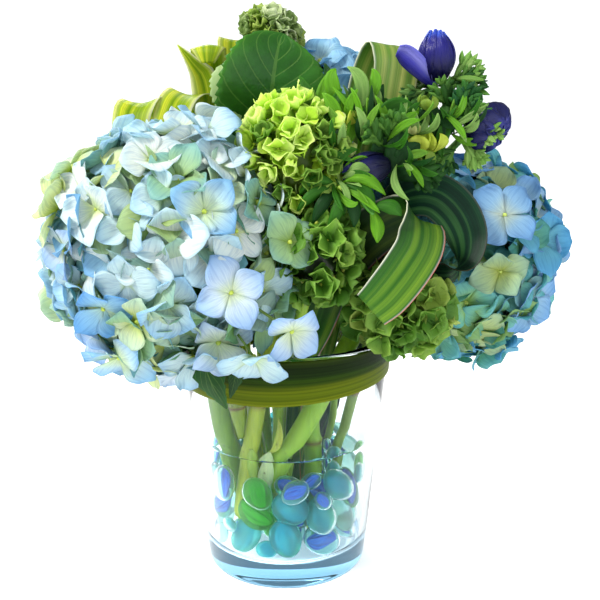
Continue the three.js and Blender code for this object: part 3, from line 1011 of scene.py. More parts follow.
@dataclass
class FlowerHeads:
    """The three hydrangea heads and the four green ones."""

    clear: Clearance
    green: Material

    def left(self) -> FlowerHead:
        """The large pale blue head.

        Returns:
            The head.
        """
        # The white palette is pulled to the head's top: partly the florets' own colour, partly painted light
        # from above.
        white = Palette((228, 240, 176), (243, 249, 243), (190, 226, 240), (-0.1, -0.3, 1.3), 1.2, 1.2)
        sky = Palette((220, 238, 190), (216, 239, 241), (112, 184, 230), (-0.4, -0.6, 0.2), 0.6, 1.1)
        deep = Palette((196, 228, 220), (160, 210, 236), (84, 164, 226), (0.2, -0.9, -0.1), 0.8, 0.2)
        mauve = Palette((226, 238, 196), (224, 236, 244), (150, 194, 236), (0.4, -0.7, -0.6), 2, 0.13)
        cream = Palette((200, 218, 96), (230, 239, 178), (204, 230, 206), (0, -0.9, 0.1), 0.8, 0.5)
        sage = Palette((146, 180, 78), (172, 208, 148), (136, 194, 196), (1, -0.2, -0.1), 2.6, 0.16)
        features = (
            Feature((-25, -93, 190), (0.1, -1, 0.25), mauve, 1.02, 0.35, (-8, 25)),
            Feature((-15, -77, 152), (0.05, -0.62, -0.6), sky, 1.05, 1.2, (20, 58)),
            Feature((4, -84, 168), (0.5, -1, -0.4), mauve, 0.95, 0.9, (-10, 30)),
            Feature((3, -68, 210), (0.6, -0.9, 0.2), sage, 0.9, 0.6),
        )
        return FlowerHead("hydrangea_left", "pale_blue_petal", 150,
                          Sepal(17, 18, cup=0.34, reflex=0.14, ruffle=0.05),
                          (white, sky, deep, mauve, cream, sage), PetalFinish("petal_pale_blue", veins=0.34),
                          21, self.clear, self.green, features=features,
                          beside=("green_upper_head", "green_lower_head"), tilt=(-8.0, 38.0), proud=0.865,
                          scatter=0.034, eye=(196, 212, 96))

    def right(self) -> FlowerHead:
        """The teal and periwinkle head.

        Returns:
            The head.
        """
        # These palettes are deeper and more saturated than the left head's: partly the head's own colour,
        # partly painted shade on this side.
        teal = Palette((150, 206, 160), (118, 196, 214), (88, 172, 220), (0.8, -0.2, 0.5), 1, 1)
        periwinkle = Palette((200, 215, 200), (164, 206, 232), (112, 172, 226), (0.2, -0.6, 0.6), 1.2, 0.5)
        aqua = Palette((170, 208, 110), (132, 206, 182), (104, 188, 208), (0.3, -0.8, 0), 0.6, 0.9)
        olive = Palette((140, 172, 66), (156, 192, 100), (134, 184, 124), (-0.9, -0.4, -0.5), 2.4, 0.3)
        lime = Palette((196, 208, 100), (196, 216, 150), (160, 200, 180), (0.1, -0.5, -0.8), 1.4, 0.26)
        features = (
            Feature((119, -29, 217), (0.15, -1, 0.3), periwinkle, 1.1, 0.75, (-25, 25)),
            Feature((118, -30, 186), (0.1, -1, 0.1), lime, 0.95, 0.4, (0, 45)),
        )
        return FlowerHead("hydrangea_right", "teal_blue_petal", 112, Sepal(17, 18.5, cup=0.34, reflex=0.14),
                          (teal, periwinkle, aqua, olive, lime), PetalFinish("petal_teal_blue", veins=0.34),
                          37, self.clear, self.green, features=features, beside=("green_right_head",),
                          tilt=(-10.0, 36.0), proud=0.86, scatter=0.034)

    def back(self) -> FlowerHead:
        """The blue head behind.

        Returns:
            The head.
        """
        sky = Palette((190, 224, 225), (170, 216, 238), (132, 196, 236))
        pale = Palette((190, 215, 190), (165, 210, 225), (120, 180, 220))
        return FlowerHead("hydrangea_back", "teal_blue_petal", 85, Sepal(17, 18.5), (sky, pale),
                          PetalFinish("petal_sky_blue"), 53, self.clear, self.green,
                          beside=("hydrangea_left_head", "hydrangea_right_head", "green_top_head"))

    def greens(self) -> list[FlowerHead]:
        """The four green heads of small cupped florets.

        Returns:
            The heads.
        """
        # The lit palette, pulled to the upper left, is painted light; the darker leaf palette, pulled to the
        # bottom, is partly the florets' own colour and partly painted shade.
        lit = Palette((170, 212, 48), (222, 250, 96), (242, 254, 170), (-0.4, -0.5, 0.9), 1.4, 1.3)
        leaf = Palette((80, 125, 40), (120, 172, 62), (172, 208, 92), (0.3, -0.3, -1), 1.2, 0.8)
        mid = Palette((58, 104, 24), (82, 140, 38), (126, 174, 64))
        jade = Palette((86, 144, 38), (108, 168, 56), (152, 196, 80))
        olive = Palette((120, 150, 50), (150, 182, 72), (196, 214, 112))
        pale = Palette((150, 190, 110), (190, 215, 150), (222, 232, 190))
        young = Sepal(8.6, 9.0, cup=0.45, reflex=-0.25, ruffle=0.1, rows=7, cols=7)
        open_cup = Sepal(9.6, 10.5, cup=0.35, reflex=-0.2, ruffle=0.08, rows=7, cols=7)
        wide_cup = Sepal(10.5, 11.5, cup=0.35, reflex=-0.1, ruffle=0.1, rows=7, cols=7)
        low = (Feature((19, -60, 186), (0.1, -1, 0.2), jade, 1.25, 0.3, (35, 60)),
               Feature((2, -62, 212), (-0.2, -1, 0.25), mid, 1.25, 0.8, (20, 45)))
        # Painted shade for each head's inner florets and heart; glow is the lighter painted shade of the
        # sunlit upper head.
        shade, glow = (0.5, 0.6, 0.35), (0.74, 0.82, 0.45)
        heads = (
            ("green_upper", 74, young, (lit, leaf), PetalFinish("petal_chartreuse", 0.42, 0.1, through=0.5),
             61, (30, 62), glow, (170, 195, 60), 1.1, 0.95, ()),
            ("green_lower", 40, open_cup, (mid, leaf, jade), PetalFinish("petal_green", 0.42, 0.12), 62,
             (15, 50), shade, (190, 200, 90), 1.2, 0.92, low),
            ("green_right", 52, wide_cup, (olive, leaf, mid), PetalFinish("petal_leaf_green", 0.45, 0.15), 63,
             (15, 55), shade, (180, 195, 80), 1.2, 0.92, ()),
            ("green_top", 40, young, (pale, olive), PetalFinish("petal_pale_green", 0.45, 0.12), 64,
             (30, 62), shade, (190, 210, 110), 1.1, 0.76, ()),
        )
        return [FlowerHead(name, "lime_petal", florets, sepal, palettes, finish, seed, self.clear, self.green,
                           tilt, shade=dim, eye=eye, eye_radius=bud, proud=proud, features=set_by_hand,
                           petals=(4, 5))
                for name, florets, sepal, palettes, finish, seed, tilt, dim, eye, bud, proud, set_by_hand
                in heads]

    def build(self) -> None:
        """Builds every head."""
        for head in (self.left(), self.right(), self.back(), *self.greens()):
            head.build()


# --- blades, leaves and stems
@dataclass
class Ribbon:
    """A strap of leaf along knots of place, width direction and half width."""

    knots: Route
    rows: int = 72
    cols: int = 13
    trough: float = 0.12
    wave: float = 0.03
    tint: Colour = (1.0, 1.0, 1.0)
    edges: tuple[Array, Array] | None = None
    shades: tuple[float, ...] = (1.0, 1.0)
    across: tuple[Rgb, ...] = ()

    def add(self, sheets: Builder) -> None:
        """Adds the blade's sheet to a mesh.

        Args:
            sheets: the mesh.
        """
        path, side, face, half = rail(self.knots, self.rows)
        half = np.maximum(half, 0.3)[:, None, :] * MM
        u = np.linspace(-1, 1, self.cols)
        dip = self.trough * (1 - np.abs(u) ** 1.5)[None, :, None]
        ripple = self.wave * np.sin(np.linspace(0, 14, self.rows))[:, None, None] * (u**3)[None, :, None]
        lift = face[:, None] * half * (dip + ripple)
        points = path[:, None] + side[:, None] * u[None, :, None] * half - lift
        # Painted light and shade along the blade: each row's tint is scaled by the shades, above 1 for
        # painted light, below 1 for painted shade.
        shade = np.interp(np.linspace(0, 1, self.rows), np.linspace(0, 1, len(self.shades)), self.shades)
        tint = np.ones(points.shape[:2] + (4,)) * np.append(self.tint, 0.0)
        tint[..., :3] *= shade[:, None, None]
        if self.across:
            lanes = np.array([paint(*colour) for colour in self.across])
            spots = np.linspace(-1, 1, len(lanes))
            tint[..., :3] *= np.stack([np.interp(u, spots, lane) for lane in lanes.T], -1)[None]
        if self.edges is not None:
            for column, inward, colour in ((0, 1, self.edges[0]), (self.cols - 1, -1, self.edges[1])):
                line = np.ones((self.rows, 4)) * colour
                # The edge colours take the same painted shade, but no painted light.
                line[:, :3] *= np.minimum(shade, 1.0)[:, None]
                tint[:, column] = line
                tint[:, column + inward] = 0.2 * line + 0.8 * tint[:, column + inward]
        sheets.sheet(points, tint)


@dataclass
class ToothedLeaf:
    """A veined leaf with a toothed edge, along a midrib with its own width direction at each knot."""

    knots: Route
    face_tint: Array
    edge_tint: Array
    teeth: int = 22
    tooth: float = 0.07
    rows: int = 89
    cols: int = 19
    fold: float = 0.18
    quilt: float = 0.035
    side_veins: float = 9.0
    slant: float = 0.32

    def add(self, sheets: Builder) -> None:
        """Adds the leaf's sheet to a mesh.

        Args:
            sheets: the mesh.
        """
        path, side, face, half = rail(self.knots, self.rows)
        v = np.linspace(0, 1, self.rows)[:, None]
        u = np.linspace(-1, 1, self.cols)[None, :]
        saw = ((v * self.teeth) % 1.0) * self.tooth
        half = np.maximum(half, 0.4) * MM * (1 - saw * np.abs(u) ** 8)
        phase = ((v - self.slant * np.abs(u)) * self.side_veins) % 1.0
        swell = self.quilt * np.sin(math.pi * phase) * np.minimum(1, np.abs(u) * 5) * (1 - u**6)
        lift = (self.fold * np.abs(u) ** 1.4 + swell)[..., None] * half[..., None]
        points = path[:, None] + side[:, None] * (u * half)[..., None] + face[:, None] * lift
        tint = mix(self.face_tint, self.edge_tint, np.abs(u) ** 3 * np.ones_like(v))
        sheets.sheet(points, tint)


@dataclass(frozen=True)
class Lance:
    """A slim pointed leaf or lobe from its foot to its tip, in millimetres."""

    foot: Point
    tip: Point
    half: float
    bow: Point
    tint: Rgb
    side: Point = (1.0, 0.0, 0.0)
    fold: float = 0.35
    widest: float = 0.55
    rows: int = 12
    cols: int = 5

    def add(self, sheets: Builder) -> None:
        """Adds the leaf's sheet to a mesh.

        Args:
            sheets: the mesh.
        """
        foot, tip, bow = np.array(self.foot), np.array(self.tip), np.array(self.bow)
        v = np.linspace(0, 1, self.rows)[:, None]
        path = (foot * (1 - v) + tip * v + bow * 4 * v * (1 - v)) * MM
        along = unit(np.gradient(path, axis=0))
        side = unit(np.array(self.side) - along * (along @ np.array(self.side))[:, None])
        face = np.cross(side, along)
        power = math.log(0.5) / math.log(self.widest)
        wide = np.sin(math.pi * np.clip(v, 0.02, 0.985) ** power) ** 0.75 * self.half * MM
        u = np.linspace(-1, 1, self.cols)[None, :, None]
        lift = face[:, None] * np.abs(u) * self.fold * wide[:, None]
        points = path[:, None] + side[:, None] * u * wide[:, None] + lift
        # Painted shade and light: darker at the foot, paler towards the tip and the edges.
        shade = 0.8 + 0.25 * v[:, None] + 0.12 * np.abs(u)
        sheets.sheet(points, paint(*self.tint) * shade)


@dataclass(frozen=True)
class CutLeaf:
    """A feathery leaf: a middle rib with pairs of pointed lobes, each with its own small teeth."""

    foot: Point
    direction: Point
    length: float
    tint: Rgb
    tip_tint: Rgb
    droop: float = 0.15
    half: float = 2.0
    up: Point = (0.0, -1.0, 0.3)
    pairs: int = 2
    spread: float = 0.6

    def add(self, sheets: Builder, random: Random) -> None:
        """Adds the leaf's lobes to a mesh.

        Args:
            sheets: receives them.
            random: the source of their differences.
        """
        _, _, forward = frame_of(np.array(self.direction))
        side = unit(np.cross(forward, np.array(self.up)))
        face = np.cross(side, forward)
        foot = np.array(self.foot)
        sag = -face * self.droop * self.length
        self.lobe(sheets, foot, foot + forward * self.length + sag, face, self.half, random)
        spots = [(0.34 + 0.4 * k / self.pairs, sign) for k in range(self.pairs) for sign in (-1, 1)]
        for place, sign in (*spots, (0.62, 0)):
            start = foot + forward * self.length * place + sag * place**2
            reach = self.length * (0.66 - 0.3 * place) * random.uniform(0.85, 1.15)
            turn = self.spread * random.uniform(0.7, 1.15) * sign
            heading = forward * math.cos(turn) + side * math.sin(turn)
            end = start + heading * reach + face * random.uniform(-0.2, 0.2) * reach
            if sign:
                self.lobe(sheets, start, end, face, self.half * 0.95, random)
            for way in (-1, 1):
                knot = start + (end - start) * 0.42
                small = heading * math.cos(0.5) + np.cross(face, heading) * way * math.sin(0.5)
                self.lobe(sheets, knot, knot + small * reach * 0.5, face, self.half * 0.7, random)

    def lobe(self, sheets: Builder, start: Array, end: Array, face: Array, half: float,
             random: Random) -> None:
        """Adds one lobe.

        Args:
            sheets: receives it.
            start: its foot.
            end: its tip.
            face: the way the leaf faces.
            half: its half width.
            random: the source of its differences.
        """
        across = np.cross(face, end - start)
        pale = random.uniform(0, 1)
        tint = tuple(int(a * (1 - pale) + b * pale) for a, b in zip(self.tint, self.tip_tint))
        bow = tuple(face * random.uniform(-0.08, 0.16) * np.linalg.norm(end - start))
        Lance(tuple(start), tuple(end), half, bow, tint, tuple(across), 0.3, 0.5, 7, 3).add(sheets)


@dataclass
class Stalk:
    """A round stem along a route, with a swelling and a brown ring at each node."""

    route: Route
    radius: float
    nodes: Sequence[float] = ()
    colour: Rgb = (150, 185, 70)
    foot: Rgb = (165, 195, 90)
    flat: float = 1.0
    grooves: float = 0.0
    taper: float = 0.14
    sides: int = 16
    rows: int = 72

    def add(self, tubes: Builder) -> None:
        """Adds the stem to a mesh.

        Args:
            tubes: the mesh.
        """
        path = spline(np.array(self.route, float) * MM, self.rows)
        along = unit(np.gradient(path, axis=0))
        t = np.linspace(0, 1, self.rows)
        swell = 1.0 + 0.5 * self.taper - self.taper * t
        brown = np.zeros(self.rows)
        for node in self.nodes:
            swell = swell + 0.2 * np.exp(-(((t - node) / 0.018) ** 2))
            brown = brown + np.exp(-(((t - node + 0.012) / 0.013) ** 2))
        swell[0] *= 0.86
        turn = np.linspace(0, 2 * math.pi, self.sides, endpoint=False)
        side = unit(np.cross(along, np.array([0.0, 1.0, 0.05])))
        depth = np.cross(side, along)
        shape = 1 - self.grooves * np.cos(5 * turn) ** 2
        ring = (np.cos(turn) * shape)[None, :, None] * side[:, None] + (
            np.sin(turn) * shape * self.flat)[None, :, None] * depth[:, None]
        rings = path[:, None] + ring * (swell * self.radius * MM)[:, None, None]
        tint = mix(paint(*self.foot), paint(*self.colour), smooth(0.1, 0.7, t))
        tint = mix(tint, paint(120, 66, 48), np.clip(brown, 0, 0.9))
        tubes.tube(rings, np.broadcast_to(tint[:, None], rings.shape))


WHITE_EDGE = np.append(paint(236, 240, 205), 1.0)
RED_EDGE = np.append(paint(225, 88, 34), 1.0)
LIME_EDGE = np.append(paint(190, 205, 90), 1.0)


@dataclass
class Blades:
    """The striped leaf blades: four rolled into loops at the left, three at the right and front."""

    clear: Clearance
    reach: float = 9.0
    foot_radius: float = 4.4
    # Painted light: the left blades' tint is brightened to stand for sun shining through them.
    lit: Colour = (1.5, 1.35, 0.75)

    def front(self) -> Ribbon:
        """The broad loop at the front, with a white rim at one side and a red one at the other."""
        return Ribbon([
            (6, -6, 24, 0.9, -0.2, 0, 4), (4, -7, 80, 0.9, -0.2, 0, 4.4),
            (8, -16, 120, 0.9, -0.2, 0, 5),
            (16, -28, 152, 0.8, 0, -0.4, 10), (26, -32, 182, 0.62, -0.1, -0.75, 12.5),
            (42, -38, 205, 0.5, -0.15, -0.85, 13.5), (60, -45, 218, 0.62, -0.1, -0.75, 13),
            (70, -53, 217, 0.84, -0.1, -0.52, 12.5), (70, -60, 207, 0.93, -0.1, -0.35, 12.5),
            (63, -64, 195, 0.95, -0.1, -0.3, 12.5), (53, -66, 182, 0.92, -0.15, -0.3, 12),
            (45, -66, 174, 0.85, -0.2, -0.3, 10.5)], rows=120, cols=41, trough=0.1,
            edges=(WHITE_EDGE, RED_EDGE),
            shades=(1, 1, 1.2, 1.5, 1.6, 0.6, 0.32, 0.7, 1.2, 1.3))

    def right(self) -> Ribbon:
        """The dark loop behind it."""
        return Ribbon([
            (14, 26, 24, 0.9, -0.2, 0, 4), (26, 30, 70, 0.9, -0.2, 0, 4.4),
            (48, 22, 146, 0.8, -0.3, 0.3, 5),
            (52, -2, 190, 0.4, 0.1, 0.8, 8), (58, -17, 218, 0, 0.2, 1, 10),
            (70, -23, 227, 0.22, 0.2, 0.95, 12),
            (82, -27, 227, 0.5, 0.15, 0.85, 12.5), (92, -31, 219, 0.76, 0, 0.62, 12.5),
            (98, -35, 207, 0.85, -0.3, 0.4, 11.5), (98, -38, 195, 0.6, -0.75, 0.2, 10),
            (91, -38, 187, 0.2, -0.7, 0.65, 9), (80, -35, 186, 0, -0.4, 0.9, 6.5)], rows=120, cols=41,
            edges=(LIME_EDGE * 0.25, LIME_EDGE * 0.25), shades=(1, 1, 0.9, 0.7, 0.6, 0.8, 0.9, 0.7, 0.3))

    def top(self) -> Ribbon:
        """The wide blade folded over at the top right."""
        return Ribbon([
            (6, 6, 24, 0.9, 0.35, 0.1, 4), (12, 10, 70, 0.9, 0.35, 0.1, 4.4), (29, 13, 146, 0.9, 0.3, 0.1, 5),
            (40, 18, 225, 0.95, 0.2, 0, 9), (48, 24, 275, 0.97, 0.1, -0.1, 13),
            (55, 22, 298, 0.97, 0, -0.1, 13.5),
            (60, 14, 304, 0.95, -0.1, -0.15, 13), (62, 5, 297, 0.95, -0.15, -0.2, 12.5),
            (60, 0, 282, 0.95, -0.2, -0.1, 12),
            (57, -3, 264, 0.95, -0.2, 0, 9.5)], rows=90, cols=33, trough=0.14,
            edges=(WHITE_EDGE, LIME_EDGE), shades=(1, 1, 0.8, 0.9, 1.1, 1.15, 1.0, 0.7))

    def left(self) -> list[list[Ribbon]]:
        """The sheets of the three loops and the spiky blade at the upper left, with the light through them
        painted into their tint.

        Returns:
            The sheets of each blade.
        """
        outer = Ribbon([
            (-24, 6, 24, 0.75, 0.5, 0.3, 4), (-30, 14, 70, 0.75, 0.5, 0.3, 4.4),
            (-42, 28, 146, 0.75, 0.5, 0.3, 5),
            (-66, 44, 230, 0.8, 0.5, 0.2, 9), (-74, 28, 266, 0.9, 0.35, 0.15, 11),
            (-79, 12, 276, 0.95, 0.2, 0.1, 11),
            (-84, 0, 272, 0.9, 0.2, 0.1, 10.5),
            (-86, -8, 255, 0.9, 0.2, 0.1, 9.5)], trough=-0.2, tint=self.lit,
            edges=(LIME_EDGE, WHITE_EDGE))
        inner = Ribbon([
            (-18, 16, 24, 0.85, 0.35, 0.3, 4), (-24, 26, 70, 0.85, 0.35, 0.3, 4.4),
            (-30, 42, 146, 0.85, 0.35, 0.3, 5),
            (-48, 50, 230, 0.85, 0.4, 0.1, 9), (-51, 36, 268, 0.9, 0.3, -0.1, 11),
            (-54, 20, 280, 0.9, 0.1, -0.15, 11),
            (-60, 6, 277, 0.9, 0, 0, 10.5),
            (-65, -4, 262, 0.9, 0, 0.1, 10)], trough=-0.2, tint=self.lit,
            edges=(LIME_EDGE, WHITE_EDGE))
        high = Ribbon([
            (-2, 23, 24, 0.9, 0.4, 0, 4), (-5, 32, 70, 0.9, 0.4, 0, 4.4),
            (-14, 50, 146, 0.9, 0.4, 0, 5),
            (-26, 58, 240, 0.95, 0.2, 0, 8), (-27, 50, 292, 0.97, 0.1, 0.1, 10.5),
            (-28, 38, 310, 0.97, 0, 0.1, 10.5), (-29, 29, 308, 0.97, 0, 0, 10),
            (-29, 24, 296, 0.97, 0, 0, 9)],
            trough=-0.25, tint=np.array(self.lit) * 0.8, edges=(LIME_EDGE, LIME_EDGE))
        spike = Ribbon([
            (-14, 2, 24, 0.85, -0.5, 0.1, 4), (-18, 6, 70, 0.85, -0.5, 0.1, 4.4),
            (-30, 10, 146, 0.85, -0.5, 0.1, 5),
            (-42, 16, 230, 0.9, -0.3, 0.1, 7), (-45, 14, 282, 0.9, -0.2, 0.2, 8.5),
            (-52, 13, 296, 0.85, -0.1, 0.5, 4),
            (-60, 12, 306, 0.8, 0, 0.6, 0.4)], cols=9, trough=0.5, tint=self.lit,
            edges=(WHITE_EDGE, WHITE_EDGE))
        folded = Ribbon([
            (-40, 22, 270, 1, 0, 0, 6), (-42, 20, 286, 1, 0, 0, 9), (-43, 15, 302, 0.99, 0, 0.05, 10),
            (-43, 10, 303, 0.99, 0, 0.05, 9), (-43, 8, 296, 1, 0, 0, 4)], rows=30, trough=0.2, tint=self.lit,
            edges=(LIME_EDGE, LIME_EDGE))
        return [[outer], [inner], [high], [spike, folded]]

    def build(self) -> None:
        """Builds every blade."""
        deep = BladeFinish("blade_deep", (20, 64, 18), (46, 98, 22), (112, 150, 38), 4.2, shift=1.7)
        dusk = BladeFinish("blade_dusk", (8, 46, 34), (16, 70, 44), (70, 124, 66), 7.0, 0.12, 4.1)
        broad = BladeFinish("blade_broad", (70, 128, 48), (122, 164, 66), (198, 208, 112), 4.6, 0.4, 2.2)
        sunny = BladeFinish("blade_sunny", (96, 140, 22), (150, 180, 36), (205, 215, 80), 6.5, 0.45, 5.2)
        self.one("leaf_loop_front", [self.front()], deep)
        self.one("leaf_loop_right", [self.right()], dusk)
        self.one("leaf_loop_top", [self.top()], broad)
        nodes = ("leaf_loop_left_outer", "leaf_loop_left_inner", "leaf_loop_left_top", "leaf_blade_left")
        for node, ribbons in zip(nodes, self.left()):
            self.one(node, ribbons, sunny)

    def one(self, node: str, ribbons: Sequence[Ribbon], finish: BladeFinish) -> None:
        """Builds one blade in the place of its node.

        Args:
            node: the node.
            ribbons: its sheets.
            finish: its finish.
        """
        sheets = Builder()
        for ribbon in ribbons:
            ribbon.add(sheets)
            self.clear.along(ribbon.knots, self.reach)
            if ribbon.knots[0][2] < self.clear.bed_top:
                self.clear.stands(ribbon.knots, self.foot_radius)
        material = bpy.data.materials.get(finish.name) or finish.material()
        report(sheets.object(node + "_strap", material, 0.0005), "striped_blade", [node])


@dataclass
class Leaves:
    """The veined, toothed hydrangea leaves."""

    def top(self) -> tuple[ToothedLeaf, ToothedLeaf]:
        """The large leaf at the top, and its folded pale margin.

        Returns:
            The two sheets.
        """
        blade = ToothedLeaf([
            (-12, 14, 236, 1, 0.2, 0, 5), (-9, 8, 252, 1, 0.15, 0, 26),
            (-8, 4, 268, 1, 0.15, 0, 32),
            (-7, 3, 284, 1, 0.25, 0.05, 32), (-5, 6, 298, 1, 0.3, 0.1, 26),
            (-3, 10, 307, 1, 0.3, 0.1, 15),
            (-1, 14, 312, 1, 0.3, 0.1, 1)], paint(44, 108, 30), paint(66, 134, 36), fold=0.2)
        margin = ToothedLeaf([
            (-27, -3, 262, -1, -0.2, 0.1, 1), (-29, -4, 272, -1, -0.1, 0.1, 8),
            (-31, -5, 282, -1, -0.1, 0.2, 10.5), (-31, -4, 291, -1, 0, 0.3, 8.5),
            (-29, 0, 298, -1, 0.1, 0.4, 1)], paint(176, 208, 138), paint(196, 222, 160), 12, 0.16, 49, 15,
            fold=0.3, side_veins=7.0)
        return blade, margin

    def side(self) -> list[ToothedLeaf]:
        """The small dark leaf beside the chartreuse head."""
        dark = paint(30, 84, 34)
        return [
            ToothedLeaf([(4, -12, 212, 0.5, 0.3, 0.8, 2), (-10, -18, 236, 0.5, 0.3, 0.8, 7),
                         (-24, -22, 250, 0.4, 0.2, 0.9, 10), (-38, -24, 257, 0.3, 0.1, 0.9, 6),
                         (-46, -25, 260, 0.3, 0.1, 0.9, 0.6)], dark, dark * 1.5, 14, 0.16, 57, 13),
            ToothedLeaf([(-6, -22, 236, 0.6, 0.3, 0.7, 3), (-18, -28, 252, 0.6, 0.2, 0.8, 6),
                         (-30, -32, 259, 0.5, 0.1, 0.8, 5), (-37, -34, 262, 0.5, 0.1, 0.8, 0.6)],
                        dark * 1.2, dark * 1.8, 12, 0.16, 49, 11),
        ]

    def rim(self) -> list[ToothedLeaf]:
        """The small dark leaf that hangs over the vase's rim."""
        dark = paint(34, 84, 30)
        return [
            ToothedLeaf([(-32, -28, 153, 0.85, -0.45, 0.1, 4), (-38, -50, 157, 0.85, -0.45, 0.1, 8),
                         (-42, -64, 149, 0.9, -0.35, 0.1, 10.5), (-38, -70, 136, 0.9, -0.3, 0, 8.5),
                         (-30, -72, 122, 0.9, -0.3, -0.1, 0.6)], dark, dark * 1.6, 13, 0.2, 53, 13),
            ToothedLeaf([(-24, -68, 150, 0.9, -0.1, 0.1, 4), (-25, -71, 140, 0.9, -0.1, 0.1, 4.6),
                         (-28, -72, 128, 0.9, -0.1, 0, 0.5)], dark * 0.7, dark, 7, 0.2, 29, 9),
        ]

    def build(self) -> None:
        """Builds every toothed leaf."""
        finish = LeafFinish("hydrangea_leaf").material()
        for node, leaves in (("hydrangea_leaf_top", self.top()), ("hydrangea_leaf_side", self.side()),
                             ("hydrangea_leaf_rim", self.rim())):
            sheets = Builder()
            for leaf in leaves:
                leaf.add(sheets)
            report(sheets.object(node + "_blade", finish, 0.0005), "hydrangea_leaf", [node])


@dataclass
class Anemone:
    """A closed anemone: petals wrapped round one another on a feathery collar and a slim stem."""

    finish: Material
    node: str
    base: Point
    axis: Point
    radius: float
    height: float
    seed: int
    petals: int = 9
    crumple: float = 0.05
    low: Rgb = (12, 10, 60)
    high: Rgb = (34, 32, 124)
    tip: Rgb = (64, 96, 214)
    loose: Ribbon | None = None

    def petal(self, sheets: Builder, turn: float, half_turn: float, lift: float, open_out: float,
              random: Random) -> None:
        """Adds one petal.

        Args:
            sheets: receives it.
            turn: its place round the flower.
            half_turn: how far it wraps to either side at its widest.
            lift: how far outside the others it lies, as a share of the radius.
            open_out: how far it leans outwards, as a share of the height.
            random: the source of its differences.
        """
        a, b, n = frame_of(np.array(self.axis))
        v, u = np.meshgrid(np.linspace(0, 1, 15), np.linspace(-1, 1, 11), indexing="ij")
        body = np.sin(math.pi * np.clip(0.12 + 0.8 * v, 0, 1)) ** 0.75
        radius = self.radius * (body * (1 + lift) + 0.05 * np.abs(u) ** 2)
        radius = radius + self.crumple * self.radius * np.sin(random.uniform(0, 6) + 5 * u + 4 * v) * v
        belly = 0.35 + 0.65 * np.sin(math.pi * (0.1 + 0.68 * v))
        angle = turn + half_turn * belly * (1 - 0.35 * smooth(0.8, 1.0, v)) * u
        height = self.height * (v - 0.06 * u**2 * smooth(0.5, 1, v)) * random.uniform(0.93, 1.05)
        out = np.cos(angle)[..., None] * a + np.sin(angle)[..., None] * b
        outward = math.cos(turn) * a + math.sin(turn) * b
        lean = open_out * self.height * (v**1.3)[..., None] * outward
        drop = -0.35 * open_out * self.height * (v**2)[..., None] * n
        points = np.array(self.base) + out * radius[..., None] + height[..., None] * n + lean + drop
        streak = 0.85 + 0.3 * np.abs(np.sin(9 * u + random.uniform(0, 3)))
        tint = mix(paint(*self.low), paint(*self.high), smooth(0.1, 0.8, v)) * streak[..., None]
        tint = mix(tint, paint(*self.tip), smooth(0.82, 1.0, v))
        sheets.sheet(points * MM, tint)

    def build(self) -> None:
        """Builds the petals in the place of the flower's node."""
        random = np.random.default_rng(self.seed)
        sheets = Builder()
        for k in range(self.petals):
            ring = 0.0 if k % 2 else 0.08
            turn = 2.4 * k + random.normal(0, 0.1)
            self.petal(sheets, turn, 0.95, ring, 0.03 * random.uniform(-1, 1.2), random)
        for k in range(5):
            self.petal(sheets, 2.4 * k, 0.8, -0.45, 0.02, random)
        if self.loose is not None:
            self.loose.add(sheets)
        node = self.node + "_flower"
        report(sheets.object(node + "_petals", self.finish, 0.0004), "anemone_petal", [node])


